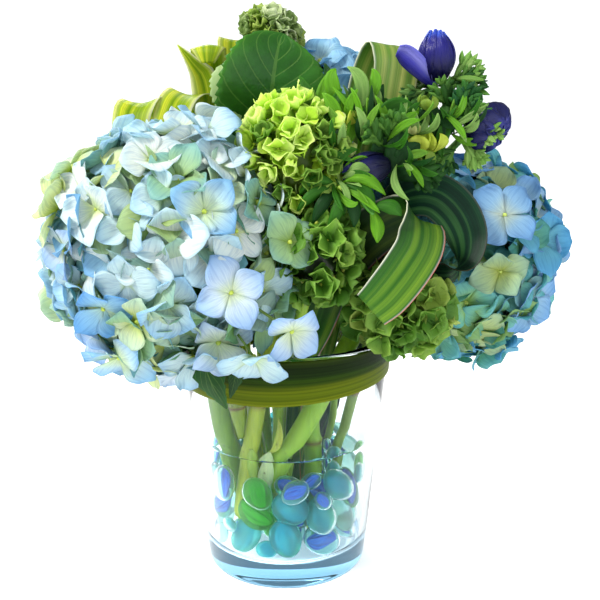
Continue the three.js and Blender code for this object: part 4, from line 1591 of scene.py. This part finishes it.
@dataclass
class Anemones:
    """The three closed anemones with their stems and feathery collars."""

    clear: Clearance
    green: Material
    leaf: Material
    stem_radius: float = 2.2
    stem_foot: float = 2.6
    stem_room: float = 5.0

    def flowers(self) -> list[Anemone]:
        """The three flowers' petals.

        Returns:
            The flowers.
        """
        night = {"low": (12, 12, 46), "high": (26, 30, 88), "tip": (60, 66, 150)}
        # The loose petal's lanes run from dark to pale across it; the pale lanes are painted light on its
        # sunlit side.
        loose = Ribbon([
            (84, -3, 284, 0.7, 0.1, 0.6, 2), (78, -7, 289, 0.7, 0.1, 0.7, 4.2),
            (71, -9, 296, 0.7, 0.1, 0.7, 5.8),
            (65, -9, 301, 0.6, 0.1, 0.8, 5.4), (61, -9, 303, 0.4, 0.1, 0.9, 3)], rows=24, trough=0.5,
            across=((16, 14, 84), (30, 28, 128), (70, 68, 176), (140, 138, 222), (110, 110, 214)))
        skin = PetalFinish("petal_anemone", 0.35, 0.3, 34.0, 0.22, 0.5).material()
        return [
            Anemone(skin, "anemone_top", (83.5, 0, 287), (-0.02, 0, 1), 9, 26, 71, crumple=0.09, loose=loose),
            Anemone(skin, "anemone_right", (105, -4, 266), (0.5, -0.5, -0.3), 12.5, 19, 72, 13, 0.24,
                    **night),
            Anemone(skin, "anemone_centre", (54, -38, 246), (-0.9, -0.35, -0.25), 8.5, 26, 73, 8, 0.1,
                    **night),
        ]

    def stems(self) -> dict[str, Stalk]:
        """The three slim stems."""
        return {
            "anemone_top": Stalk([(8, 32, 20), (12, 36, 70), (34, 36, 146), (62, 28, 220), (83.5, 0, 288)],
                                 self.stem_radius, colour=(100, 150, 60)),
            "anemone_right": Stalk([(20, 14, 20), (28, 18, 70), (37, 8, 146), (42, 0, 180), (62, 14, 215),
                                    (90, 5, 245), (108, -5, 266)], self.stem_radius, colour=(90, 140, 60)),
            "anemone_centre": Stalk([(0, 14, 20), (0, 12, 70), (6, 2, 146), (30, -8, 210), (53, -33, 247)],
                                    self.stem_radius, colour=(110, 160, 60)),
        }

    def collars(self) -> dict[str, list[CutLeaf]]:
        """The feathery leaves under each flower.

        Returns:
            The leaves by their flower's name.
        """
        dark, deep, cool = (44, 100, 38), (34, 82, 32), (40, 104, 66)
        bright, fresh, mint, pale = (150, 205, 90), (60, 120, 40), (190, 225, 130), (180, 215, 120)
        tables = {
            "anemone_top": (
                ((84, -2, 284), (0.85, -0.1, 0.42), 28, bright, mint),
                ((84, -2, 284), (0.95, -0.3, 0.15), 27, dark, bright),
                ((83, -4, 284), (-0.7, -0.5, -0.25), 24, dark, pale, 0.3),
                ((83, -4, 283), (-0.3, -0.7, -0.7), 24, dark, bright, 0.3),
                ((85, -4, 283), (0.3, -0.6, -0.85), 26, cool, bright, 0.3),
                ((86, -2, 283), (0.75, -0.4, -0.6), 26, cool, bright),
                ((84, 4, 284), (0.1, 0.9, 0.2), 22, dark, bright),
                ((84, 4, 284), (-0.7, 0.7, 0.1), 22, dark, bright),
            ),
            "anemone_right": (
                ((96, -9, 256), (0.35, -0.5, 0.8), 26, cool, bright),
                ((94, -10, 262), (0.15, -0.4, 0.95), 26, cool, (90, 160, 70)),
                ((98, -10, 258), (0.7, -0.6, 0.1), 22, bright, mint, 0.3),
                ((96, -12, 256), (0.55, -0.6, -0.65), 20, bright, mint, 0.3),
                ((94, -12, 250), (-0.8, -0.4, 0.05), 24, dark, bright, 0.2),
                ((94, -10, 254), (-0.4, -0.4, -0.8), 20, cool, bright),
                ((100, 0, 258), (0.2, 0.9, 0.1), 22, dark, bright),
                ((92, -6, 268), (-0.35, -0.4, 0.9), 24, dark, bright),
            ),
            "anemone_centre": (
                ((54, -36, 252), (-0.45, -0.5, 0.6), 22, (44, 100, 36), bright, 0.15, 2.4),
                ((54, -36, 252), (0.1, -0.5, 0.9), 24, fresh, bright, 0.15, 2.6),
                ((60, -34, 244), (0.8, -0.3, -0.3), 24, deep, fresh, 0.15, 3),
            ),
        }
        return {name: [CutLeaf(*row) for row in table] for name, table in tables.items()}

    def build(self) -> None:
        """Builds the flowers, stems and collars."""
        for flower in self.flowers():
            flower.build()
        random = np.random.default_rng(81)
        collars = self.collars()
        for name, stalk in self.stems().items():
            tubes, sheets = Builder(), Builder()
            stalk.add(tubes)
            for leaf in collars[name]:
                leaf.add(sheets, random)
            report(tubes.object(name + "_stalk", self.green), "anemone_green", [name + "_stem"])
            report(sheets.object(name + "_collar", self.leaf, 0.0004), "anemone_green")
            self.clear.along(stalk.route, self.stem_room)
            self.clear.stands(stalk.route, self.stem_foot)


@dataclass
class Foliage:
    """The bright lance leaves in the upper middle, the lime buds and the front sprig."""

    stalk: Material
    leaf: Material
    bright: Rgb = (138, 206, 46)
    green: Rgb = (74, 144, 38)
    dark: Rgb = (34, 88, 34)
    pale: Rgb = (176, 214, 120)

    def centre(self) -> list[Lance]:
        """The lance leaves of the upper middle.

        Returns:
            The leaves.
        """
        b, g, d, p = self.bright, self.green, self.dark, self.pale
        rows = (
            ((27, -36, 258), (20, -37, 282), 3.6, (3, -3, 2), b),
            ((26, -36, 256), (30, -34, 284), 3.4, (-3, -3, 1), g),
            ((36, -32, 266), (27, -30, 294), 4, (-6, -2, 4), b),
            ((38, -32, 268), (33, -32, 295), 3.6, (5, -4, 4), p),
            ((40, -31, 272), (46, -30, 294), 3.2, (4, -3, 2), b),
            ((33, -34, 272), (43, -36, 262), 3.6, (4, -4, 6), g),
            ((48, -30, 262), (52, -28, 286), 3.4, (-2, -3, 0), d),
            ((50, -31, 256), (67, -32, 276), 4.6, (-5, -4, 7), g, (0.6, 0.2, -0.6)),
            ((52, -32, 254), (70, -33, 272), 3.4, (-2, -5, 2), b, (0.6, 0.2, -0.6)),
            ((56, -34, 238), (52, -37, 262), 5.6, (-3, -3, 0), d, (0.9, 0.1, 0.1), 0.12),
            ((56, -34, 238), (61, -38, 263), 6.6, (0, -4, 0), d, (0.9, 0.1, 0), 0.12),
            ((57, -34, 238), (71, -37, 256), 6, (-1, -4, 2), d, (0.7, 0.1, -0.6), 0.12),
            ((57, -34, 238), (76, -35, 243), 5.4, (0, -4, 1), d, (0.2, 0.1, -0.9), 0.12),
            ((56, -35, 238), (45, -38, 253), 4.6, (0, -3, 1), d, (0.7, 0.1, 0.6), 0.12),
            ((80, -16, 250), (76, -18, 276), 3.8, (5, -3, 0), d),
            ((86, -16, 246), (92, -18, 270), 3.6, (-4, -3, 0), g),
            ((14, -22, 262), (8, -18, 290), 3.4, (3, -3, 0), g),
            ((20, -20, 262), (24, -16, 292), 3.8, (-2, -3, 0), b),
            ((34, -16, 262), (40, -10, 290), 3.6, (2, -3, 0), g),
            ((28, -12, 262), (22, 4, 296), 4, (2, -3, 0), d),
            ((28, -46, 240), (38, -46, 254), 2.8, (-4, -3, 4), g, (0.7, 0.1, -0.6)),
            ((29, -46, 240), (46, -44, 246), 3, (0, -3, 5), b, (0.3, 0.2, -0.9)),
        )
        return [Lance(*row) for row in rows]

    def front(self) -> list[Lance]:
        """The sprig that lies across the front, with its leaves.

        Returns:
            Its leaves.
        """
        b, g, d, p = self.bright, self.green, self.dark, self.pale
        rows = (
            ((27, -52, 236), (8, -56, 232), 3.4, (0, -4, 5), g, (0.2, 0.3, -0.9)),
            ((26, -53, 234), (7, -58, 224), 3.3, (0, -4, 4), g, (0.3, 0.3, -0.8)),
            ((27, -54, 234), (15, -60, 218), 3.6, (0, -4, 3), d, (0.8, 0.3, -0.5)),
            ((28, -54, 234), (22, -60, 214), 3.2, (3, -4, 2), g, (0.9, 0.2, -0.3)),
            ((29, -54, 236), (36, -60, 216), 3.6, (3, -4, 2), d, (0.9, 0.2, 0.2)),
            ((30, -54, 237), (46, -58, 222), 3.6, (3, -4, 5), g, (0.6, 0.2, 0.7)),
            ((30, -54, 238), (52, -56, 232), 3.2, (0, -4, 6), b, (0.2, 0.2, 0.9)),
            ((30, -53, 240), (44, -52, 244), 3.6, (0, -4, 3), p, (0.2, 0.2, 0.9)),
            ((44, -56, 226), (60, -60, 222), 3.8, (2, -3, 3), g, (0.4, 0.2, 0.9)),
            ((44, -56, 226), (48, -60, 208), 3.6, (2, -3, 0), b, (0.9, 0.2, 0.2)),
        )
        return [Lance(*row) for row in rows]

    def thicket(self, random: Random) -> list[Lance]:
        """Slender curling leaves in tufts that fill the gaps between the broad ones.

        Args:
            random: the source of their differences.

        Returns:
            The leaves.
        """
        tufts = (((27, -40, 252), (-0.1, -0.1, 1.0), 13), ((40, -36, 260), (0.0, -0.1, 1.0), 13),
                 ((52, -35, 255), (0.4, -0.2, 0.9), 11), ((44, -28, 268), (-0.4, -0.1, 1), 8),
                 ((66, -24, 260), (-0.1, -0.3, 0.9), 9), ((80, -14, 272), (0.1, -0.5, -0.9), 11),
                 ((88, -12, 262), (0.5, -0.4, 0.5), 9), ((62, -40, 246), (0.6, -0.5, -0.1), 8),
                 ((28, -52, 238), (0.5, -0.4, -0.4), 9), ((12, -40, 246), (0.2, -0.5, 0.6), 5))
        shades = (self.bright, self.pale, self.green, self.green, self.dark, (150, 206, 70))
        leaves = []
        for foot, way, count in tufts:
            for k in range(count):
                direction = unit(np.array(way) + random.normal(0, 0.36, 3))
                start = np.array(foot) + random.normal(0, 2.6, 3)
                tip = start + direction * random.uniform(15, 27)
                across = unit(np.cross(direction, (0, -1, 0)) + random.normal(0, 0.3, 3))
                bow = across * random.uniform(-5, 5) + np.array([0, -2.5, 0])
                leaves.append(Lance(tuple(start), tuple(tip), random.uniform(1.3, 2.5), tuple(bow),
                                    shades[k % len(shades)], tuple(across)))
        return leaves

    def stalks(self) -> list[Stalk]:
        """The slim stalks that carry the sprigs.

        Returns:
            The stalks.
        """
        bright, green, pale = self.bright, self.green, self.pale
        rows = (
            (1.3, bright, 16, (26, -6, 228), (28, -22, 248), (27, -34, 262)),
            (1.3, bright, 16, (34, -4, 228), (40, -20, 250), (42, -30, 272)),
            (1.3, green, 16, (44, -8, 228), (48, -22, 246), (51, -30, 262)),
            (1.3, green, 16, (60, -6, 226), (70, -14, 246), (78, -16, 262)),
            (1.6, pale, 20, (26, -30, 226), (29, -46, 236), (25, -46, 248), (23, -43, 258)),
            (1.5, bright, 16, (30, -24, 226), (30, -44, 232), (27, -53, 235)),
            (1.1, green, 16, (28, -54, 236), (38, -57, 230), (46, -58, 222)),
        )
        return [Stalk(route, radius, colour=colour, rows=count, sides=8)
                for radius, colour, count, *route in rows]

    def buds(self, sheets: Builder, random: Random) -> None:
        """Adds the lime buds, each of five cupped petals.

        Args:
            sheets: the mesh.
            random: the source of their differences.
        """
        lime, dull = (208, 222, 84), (140, 172, 60)
        spots = (((31, -36, 264), 12, 5.2, lime), ((41, -34, 262), 9, 4.4, dull),
                 ((67, -27, 258), 10, 3.8, (226, 232, 150)), ((70, -27, 250), 13, 7, lime),
                 ((78, -25, 250), 12, 6, lime), ((72, -27, 242), 11, 5.5, dull),
                 ((76, -26, 272), 9, 4, dull))
        for place, height, radius, colour in spots:
            start = random.uniform(0, 6)
            for k in range(5):
                angle = start + 2 * math.pi * k / 5
                out = np.array([math.cos(angle), math.sin(angle), 0.0])
                foot = np.array(place) + out * 0.3
                spread, rise = random.uniform(0.6, 1.1), random.uniform(0.7, 1.0)
                tip = np.array(place) + out * radius * spread + UP * height * rise
                bow, across = out * radius * 0.45, np.cross(out, UP)
                Lance(tuple(foot), tuple(tip), radius * 0.85, tuple(bow), colour, tuple(across), -0.35, 0.6,
                      9, 7).add(sheets)

    def build(self) -> None:
        """Builds the sprigs in the place of their nodes."""
        random = np.random.default_rng(91)
        slender = Builder()
        for leaf in self.thicket(np.random.default_rng(94)):
            leaf.add(slender)
        report(slender.object("foliage_thicket", self.leaf, 0.0004), "foliage")
        for node, lances in (("foliage_centre", self.centre()), ("foliage_front", self.front())):
            sheets = Builder()
            for lance in lances:
                lance.add(sheets)
            report(sheets.object(node + "_leaves", self.leaf, 0.0004), "foliage", [node])
        sheets, tubes = Builder(), Builder()
        self.buds(sheets, random)
        petals = PetalFinish("petal_lime_bud", 0.4, 0.1, through=0.45).material()
        report(sheets.object("foliage_buds", petals, 0.0003), "foliage")
        for stalk in self.stalks():
            stalk.add(tubes)
        report(tubes.object("foliage_stalks", self.stalk), "foliage")


# --- the vase and what it holds
@dataclass
class Vase:
    """The flared glass vase, its water and the leaf blade wrapped under its rim."""

    base: float = 15.0
    wall: float = 3.5
    corner: float = 4.5
    water_level: float = 82.0
    segments: int = 128
    # Colour lanes across the band, lower edge first: the dark upper lanes are painted shade.
    band_shades: tuple[Rgb, ...] = (
        (136, 146, 22), (160, 170, 30), (100, 120, 10), (164, 172, 34), (66, 90, 4), (46, 74, 4), (40, 68, 4),
        (36, 62, 4), (34, 54, 4), (60, 78, 8))
    foot: float = 48.0
    floor_round: float = 7.0
    overlap: float = 0.15

    def __post_init__(self) -> None:
        """Reads the vase's height and its radius at the rim from the frame."""
        _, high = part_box("vase")
        self.height, self.rim = high.z / MM, high.x / MM

    def outside(self, z: float) -> float:
        """The outside radius at a height."""
        return self.foot + (self.rim - self.foot) * z / self.height

    def arc(self, x: float, z: float, radius: float, start: float, end: float, count: int = 8) -> list:
        """Points on an arc.

        Args:
            x: radius of its middle.
            z: height of its middle.
            radius: its own radius.
            start: first angle, in degrees.
            end: last angle, in degrees.
            count: steps between them.

        Returns:
            The radius and height of each point.
        """
        turns = [math.radians(start + (end - start) * i / count) for i in range(count + 1)]
        return [(x + radius * math.cos(a), z + radius * math.sin(a)) for a in turns]

    def glass(self) -> None:
        """Builds the glass."""
        lip = self.wall / 2
        inner = self.outside(self.base) - self.wall
        profile = [(0, 0.6), (self.foot * 0.7, 0.5), (self.foot * 0.8, 0.0)]
        profile += self.arc(self.outside(0) - self.corner, self.corner, self.corner, -90, 0)
        profile += [(self.outside(z), z) for z in (20, 60, 100)]
        profile += self.arc(self.rim - lip, self.height - lip, lip, 0, 180)
        profile += [(self.outside(z) - self.wall, z) for z in (110, 70, 40)]
        bend = self.floor_round
        profile += self.arc(inner - bend, self.base + bend, bend, 0, -90)
        profile += [(inner * 0.4, self.base - 0.3), (0, self.base - 0.6)]
        finish = ClearFinish("vase_glass", 1.47, (0.975, 0.992, 1.0), (0.86, 0.95, 0.98), density=18.0)
        piece = lathe("vase_glass", np.array(profile) * MM, self.segments, finish.material())
        report(piece, "vase_glass", ["vase"])

    def water(self) -> None:
        """Builds the water, which laps a little up the wall."""
        over, bend = self.overlap, self.floor_round
        inner = self.outside(self.base) - self.wall + over
        top = self.outside(self.water_level) - self.wall + over
        profile = [(0, self.base - 0.7 - over), (inner * 0.4, self.base - 0.4 - over)]
        profile += self.arc(inner - bend, self.base + bend - over, bend, -90, 0)
        profile += [(top, self.water_level + 1.6), (top - 0.9, self.water_level + 0.5)]
        profile += [(top - reach, self.water_level) for reach in (2.4, 2.8, 3.2, 4.0)]
        profile += [(0, self.water_level)]
        finish = ClearFinish("vase_water", 1.2).material()
        piece = lathe("vase_water", np.array(profile) * MM, self.segments, finish)
        t = Tree("water_against_glass")
        piece.data.materials.append(t.done(t.add("BsdfTransparent", Color=(0.985, 0.997, 1.0, 1.0))))
        for face in piece.data.polygons:
            face.material_index = int(face.center.z < self.water_level * MM * 0.99)
        report(piece, "water", ["water"])

    def band(self) -> None:
        """Builds the wrapped blade, whose two ends lap over each other at the back."""
        knots = []
        turns = 26
        for i in range(turns + 1):
            angle = math.radians(100 + 384 * i / turns)
            lean = math.cos(angle)
            z = 131.5 + 2.0 * lean
            radius = self.outside(z) + 0.9 + 0.9 * i / turns
            half = 13.2 - 2.2 * max(0.0, lean)
            out = np.array([math.cos(angle), math.sin(angle)])
            knots.append((*(radius * out), z, *(0.1 * out), 1.0, half))
        sheets = Builder()
        Ribbon(knots, rows=150, cols=21, trough=-0.03, wave=0.01, across=self.band_shades).add(sheets)
        finish = BladeFinish("leaf_band", (120, 140, 80), (190, 200, 130), (255, 255, 200), shift=3.3,
                             gloss=0.08)
        report(sheets.object("leaf_band_wrap", finish.material(), 0.0006), "leaf_band", ["leaf_band"])

    def build(self) -> None:
        """Builds the glass, the water and the band."""
        self.glass()
        self.water()
        self.band()


class GemKind(Enum):
    """The kinds of glass gem."""

    COBALT = "gem_blue"
    TURQUOISE = "gem_teal"
    CLEAR = "gem_clear"
    GREEN = "gem_green"


@dataclass
class Gems:
    """The glass gems: each a flattened oval of milky glass, most with a drawn swirl inside."""

    vase: Vase
    clear: Clearance
    count: int = 24
    bed_top: float = 69.5
    tries: int = 30000
    gem_half: Point = (10.5, 8.6, 4.4)
    gap: float = 0.5
    order: tuple[GemKind, ...] = (
        GemKind.COBALT, GemKind.TURQUOISE, GemKind.CLEAR, GemKind.COBALT, GemKind.GREEN, GemKind.TURQUOISE,
        GemKind.COBALT)

    def __post_init__(self) -> None:
        """Makes the finishes."""
        glass = {
            GemKind.COBALT: ((150, 226, 220), (204, 244, 236), 0.16),
            GemKind.TURQUOISE: ((84, 202, 208), (146, 228, 206), 0.34),
            GemKind.CLEAR: ((172, 232, 226), (214, 244, 230), 0.3),
            GemKind.GREEN: ((84, 192, 74), (150, 226, 140), 0.3),
        }
        drawn = {
            GemKind.COBALT: ((8, 36, 190), (48, 110, 250)),
            GemKind.TURQUOISE: ((0, 120, 176), (40, 180, 212)),
            GemKind.GREEN: ((30, 140, 30), (96, 200, 60)),
        }
        self.bodies = {k: GemFinish(k.value + "_body", *look).material() for k, look in glass.items()}
        self.swirls = {k: SwirlFinish(k.value + "_swirl", *look).material() for k, look in drawn.items()}

    def axes(self, node: str) -> Gem:
        """A gem's place in the frame.

        Args:
            node: the gem's node.

        Returns:
            Its middle, its half sizes from the longest to the shortest, and the three matching directions.
        """
        mesh = bpy.data.objects[node].data
        co = np.zeros(len(mesh.vertices) * 3)
        mesh.vertices.foreach_get("co", co)
        co = np.unique(np.round(co.reshape(-1, 3), 6), axis=0)
        middle = (co.max(0) + co.min(0)) / 2
        values, vectors = np.linalg.eigh(np.cov((co - middle).T))
        order = np.argsort(values)[::-1]
        directions = vectors[:, order].T
        half = np.max(np.abs((co - middle) @ directions.T), axis=0)
        return middle, half, directions

    def body(self, gem: Gem, random: Random) -> Builder:
        """One gem's outside, a flattened and slightly uneven oval.

        Args:
            gem: its place.
            random: the source of its unevenness.

        Returns:
            The mesh.
        """
        middle, half, directions = gem
        rows, cols = 17, 28
        polar = np.linspace(0.02, math.pi - 0.02, rows)[:, None]
        turn = np.linspace(0, 2 * math.pi, cols, endpoint=False)[None, :]
        flat = np.sin(polar) ** 0.92
        x = flat * np.cos(turn) * (1 + 0.03 * np.sin(2 * turn + random.uniform(0, 6)))
        y = flat * np.sin(turn) * (1 + 0.03 * np.cos(3 * turn + random.uniform(0, 6)))
        z = np.cos(polar) * np.ones_like(turn)
        local = np.stack([x * half[0], y * half[1], z * half[2]], -1)
        tubes = Builder()
        tubes.tube(middle + local @ directions, np.ones(3))
        return tubes

    def swirl(self, gem: Gem, random: Random) -> Builder:
        """The drawn swirl: an almond-shaped vane with a smaller one across it.

        Args:
            gem: the gem's place.
            random: the source of its sway.

        Returns:
            The mesh.
        """
        middle, half, directions = gem
        sheets = Builder()
        v = np.linspace(-0.84, 0.84, 17)[:, None]
        u = np.linspace(-1, 1, 9)[None, :]
        sway = random.uniform(-0.25, 0.25)
        for share, lean in ((0.62, 0.15), (0.34, 1.0)):
            reach = share * np.maximum(0, 1 - (v / 0.86) ** 2) ** 0.7 + 0.01
            twist = lean + 0.5 * v
            y = u * reach * np.cos(twist) + sway * np.sin(2.6 * v)
            z = u * reach * np.sin(twist)
            x = v * np.ones_like(u)
            local = np.stack([x * half[0], y * half[1], z * half[2]], -1)
            sheets.sheet(middle + local @ directions, np.ones(3))
        return sheets

    def samples(self, gem: Gem) -> Array:
        """Points on a gem's outside."""
        middle, half, directions = gem
        return middle + (ball(70) * half) @ directions

    def clash(self, points: Array, gem: Gem) -> bool:
        """Whether a gem holds any point.

        Args:
            points: the points.
            gem: the gem.

        Returns:
            True if it holds one.
        """
        middle, half, directions = gem
        local = ((points - middle) @ directions.T) / (half * 1.03)
        return bool(np.any(np.linalg.norm(local, axis=1) < 1.0))

    def free(self, gem: Gem, others: Sequence[Gem]) -> bool:
        """Whether a gem clears the vase, the stems and the other gems.

        Args:
            gem: the gem.
            others: the gems that are already there.

        Returns:
            True if it clears them.
        """
        points = self.samples(gem)
        height = points[:, 2] / MM
        floor = self.vase.base
        room = (self.vase.outside(height) - self.vase.wall - self.gap) * MM
        if height.min() < floor + 0.4 or height.max() > self.bed_top:
            return False
        if np.any(np.hypot(points[:, 0], points[:, 1]) > room - 0.003 * smooth(floor + 7, floor, height)):
            return False
        for path, radius in self.clear.solids:
            if np.min(np.linalg.norm(points[:, None] - path[None], axis=2)) < radius:
                return False
        for other in others:
            near = np.linalg.norm(other[0] - gem[0]) <= 0.024
            if near and (self.clash(points, other) or self.clash(self.samples(other), gem)):
                return False
        return True

    def extra(self, there: list[Gem], random: Random) -> list[Gem]:
        """Small gems that fill the gaps between the others.

        Args:
            there: the gems that are already there.
            random: the source of their places.

        Returns:
            The gems that fit, each as its middle, half sizes and directions.
        """
        found = []
        for attempt in range(self.tries):
            size = 1.05 - 0.5 * attempt / self.tries
            angle, height = random.uniform(0, 2 * math.pi), random.uniform(17, 64)
            reach = random.uniform(0.3, 1.0) ** 0.5 * (self.vase.outside(height) - self.vase.wall - 4.0) * MM
            middle = np.array([reach * math.cos(angle), reach * math.sin(angle), height * MM])
            turn, lean = random.uniform(0, math.pi), random.normal(0, 0.25, 3)
            centres = np.array([gem[0] for gem in there + found])
            if np.min(np.linalg.norm(centres - middle, axis=1)) < 8.5 * size * MM:
                continue
            a, b, n = frame_of(unit(np.array([math.cos(angle), math.sin(angle), 0.0]) + lean))
            cos, sin = math.cos(turn), math.sin(turn)
            directions = np.array([a * cos + b * sin, b * cos - a * sin, n])
            gem = (middle, np.array(self.gem_half) * MM * size, directions)
            if self.free(gem, there + found):
                found.append(gem)
        return found

    def build(self) -> None:
        """Builds every gem where its node lies."""
        random = np.random.default_rng(4)
        nodes = [f"glass_gem_{i + 1:02d}" for i in range(self.count)]
        gems = [self.axes(node) for node in nodes]
        more = self.extra(gems, np.random.default_rng(12))
        for i, gem in enumerate(gems + more):
            kind = self.order[i % len(self.order)]
            name = f"gem_{i + 1:02d}_"
            body = self.body(gem, random).object(name + "glass", self.bodies[kind])
            report(body, kind.value, nodes[i:i + 1])
            if kind in self.swirls:
                report(self.swirl(gem, random).object(name + "swirl", self.swirls[kind], 0.0009), kind.value)


@dataclass
class Stems:
    """All the stems that stand in the vase."""

    clear: Clearance
    skin: Material

    def build(self) -> None:
        """Builds the stems of the heads, each in the place of its node."""
        stalks = {
            "hydrangea_left": Stalk(
                [(-22, -5, 20), (-31, -8, 58), (-41, -15, 112), (-44, -19, 148), (-55, -26, 172)], 6,
                colour=(128, 178, 40), foot=(140, 186, 52), grooves=0.12, flat=0.75),
            "hydrangea_right": Stalk(
                [(-15, -21, 44), (0, -24, 75), (21, -22, 110), (42, -6, 146), (76, 17, 174)], 5.7,
                colour=(150, 196, 52), foot=(166, 206, 76)),
            "hydrangea_back": Stalk(
                [(17, -8, 20), (16, -6, 67), (14, -3, 110), (16, 14, 150), (25, 52, 222)], 5,
                (0.25, 0.62), (140, 184, 50), (150, 192, 62)),
            "green_upper": Stalk(
                [(-25, -26, 38), (-23, -24, 58), (-15, -21, 110), (-6, -24, 150), (-2, -24, 190),
                 (4, -33, 232)],
                4.8, (0.36, 0.7), (172, 196, 64), (190, 206, 78)),
            "green_lower": Stalk(
                [(-6, -4, 20), (-5, -8, 80), (0, -28, 140), (9, -42, 165), (14, -47, 184)], 3, (0.5,)),
            "green_right": Stalk(
                [(26, 4, 20), (34, 2, 75), (44, -14, 120), (48, -25, 148), (57, -36, 162)], 3, (0.6,),
                (120, 150, 50)),
            "green_top": Stalk(
                [(-9, 14, 20), (-13, 20, 70), (-16, 30, 146), (-14, 40, 230),
                 (-10, 40, 300)], 3, (0.3, 0.6)),
        }
        for name, stalk in stalks.items():
            tubes = Builder()
            stalk.add(tubes)
            report(tubes.object(name + "_stem_skin", self.skin), "stem", [name + "_stem"])
            self.clear.along(stalk.route[1:], 0.5 * stalk.radius)
            self.clear.stands(stalk.route, stalk.radius * 1.1)
        self.details()

    def details(self) -> None:
        """Builds the bud sheaths and the cut side stub on the stems in the vase."""
        sheaths, stubs = Builder(), Builder()
        for sheath in (
            ((-12, -27, 48), (-9, -30, 78), 4.4, (-1, -3, 0), (222, 238, 206)),
            ((-13, -27, 50), (-19, -28, 80), 3.4, (-2, -2, 0), (176, 206, 96)),
            ((8, -13, 88), (3, -16, 58), 4, (-4, -1, 0), (176, 204, 86)),
            ((-4, -26, 98), (-10, -28, 74), 2.4, (3, -1, 0), (190, 202, 90)),
        ):
            Lance(*sheath, fold=-0.5).add(sheaths)
        Stalk([(-28, -22, 118), (-27.5, -23, 104), (-26, -23, 92), (-25.5, -23, 86)], 4.6, nodes=(0.45,),
              colour=(150, 176, 50), foot=(140, 150, 50), taper=1.2, rows=24).add(stubs)
        report(sheaths.object("stem_sheaths", self.skin, 0.0005), "stem")
        report(stubs.object("stem_stub", self.skin), "stem")


# --- stage
@dataclass(frozen=True)
class Lamp:
    """A square soft lamp, in metres and watts."""

    name: str
    place: Point
    size: float
    power: float
    colour: Colour
    target: Point = (0.0, 0.0, 0.2)

    def build(self) -> None:
        """Builds the lamp."""
        data = bpy.data.lights.new(self.name, "AREA")
        data.size, data.energy, data.color = self.size, self.power, self.colour
        lamp = placed(self.name, data)
        lamp.location = self.place
        lamp.rotation_euler = (Vector(self.target) - Vector(self.place)).to_track_quat("-Z", "Y").to_euler()


@dataclass
class Studio:
    """The floor, the lamps, the sky and the camera."""

    camera_place: Point = (8.4, -551.0, 307.0)
    look_down: float = 14.76
    lens: float = 58.56
    sensor: float = 36.0
    floor_half: float = 4.0
    sky_colour: Colour = (0.96, 0.98, 1.0)
    seen_sky: float = 1.2
    lighting_sky: float = 0.78
    mirrored_sky: float = 0.45
    lamps: tuple[Lamp, ...] = (
        Lamp("key_lamp", (-0.85, -0.5, 1.2), 0.3, 24.0, (1.0, 0.97, 0.92)),
        Lamp("fill_lamp", (0.9, -0.9, 0.6), 0.9, 5.0, (0.88, 0.94, 1.0)),
        Lamp("back_lamp", (-0.4, 0.9, 1.0), 0.5, 9.0, (1.0, 1.0, 0.96), (0.0, 0.0, 0.22)),
    )

    def build(self) -> None:
        """Builds the stage."""
        data = bpy.data.meshes.new("floor")
        r = self.floor_half
        data.from_pydata([(-r, -r, 0), (r, -r, 0), (r, r, 0), (-r, r, 0)], [], [(0, 1, 2, 3)])
        data.materials.append(FloorFinish().material())
        placed("floor", data)
        for lamp in self.lamps:
            lamp.build()
        self.sky()
        self.camera()
        bpy.context.scene.view_settings.view_transform = "Standard"

    def sky(self) -> None:
        """Builds the sky, which lights the flowers less strongly than it shows."""
        world = bpy.data.worlds.new("studio")
        bpy.context.scene.world = world
        world.use_nodes = True
        nodes, links = world.node_tree.nodes, world.node_tree.links
        sky = nodes["Background"]
        sky.inputs["Color"].default_value = (*self.sky_colour, 1.0)
        ray = nodes.new("ShaderNodeLightPath")
        last = None
        for kind, level in (("Is Diffuse Ray", self.lighting_sky), ("Is Glossy Ray", self.mirrored_sky)):
            step = nodes.new("ShaderNodeMapRange")
            step.inputs["To Min"].default_value = self.seen_sky
            if last is not None:
                links.new(last, step.inputs["To Min"])
            step.inputs["To Max"].default_value = level
            links.new(ray.outputs[kind], step.inputs["Value"])
            last = step.outputs[0]
        links.new(last, sky.inputs["Strength"])

    def camera(self) -> None:
        """Builds the camera."""
        data = bpy.data.cameras.new("camera")
        data.lens, data.sensor_width = self.lens, self.sensor
        camera = placed("camera", data)
        camera.location = Vector(self.camera_place) * MM
        camera.rotation_euler = Euler((math.radians(90 - self.look_down), 0, 0))
        bpy.context.scene.camera = camera


def main() -> None:
    """Builds the whole arrangement on the frame."""
    logging.basicConfig(level=logging.INFO, format="%(message)s")
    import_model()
    Studio().build()
    vase = Vase()
    vase.build()
    stem_finish = StemFinish("stem_skin").material()
    pale = ((180, 200, 180), (225, 235, 225), (255, 255, 255))
    leaf_finish = BladeFinish("foliage_leaf", *pale, stripes=3.0, through=0.4).material()
    clear = Clearance()
    Stems(clear, stem_finish).build()
    Blades(clear).build()
    Leaves().build()
    Anemones(clear, stem_finish, leaf_finish).build()
    Foliage(stem_finish, leaf_finish).build()
    Gems(vase, clear).build()
    FlowerHeads(clear, stem_finish).build()


if __name__ == "__main__":
    main()
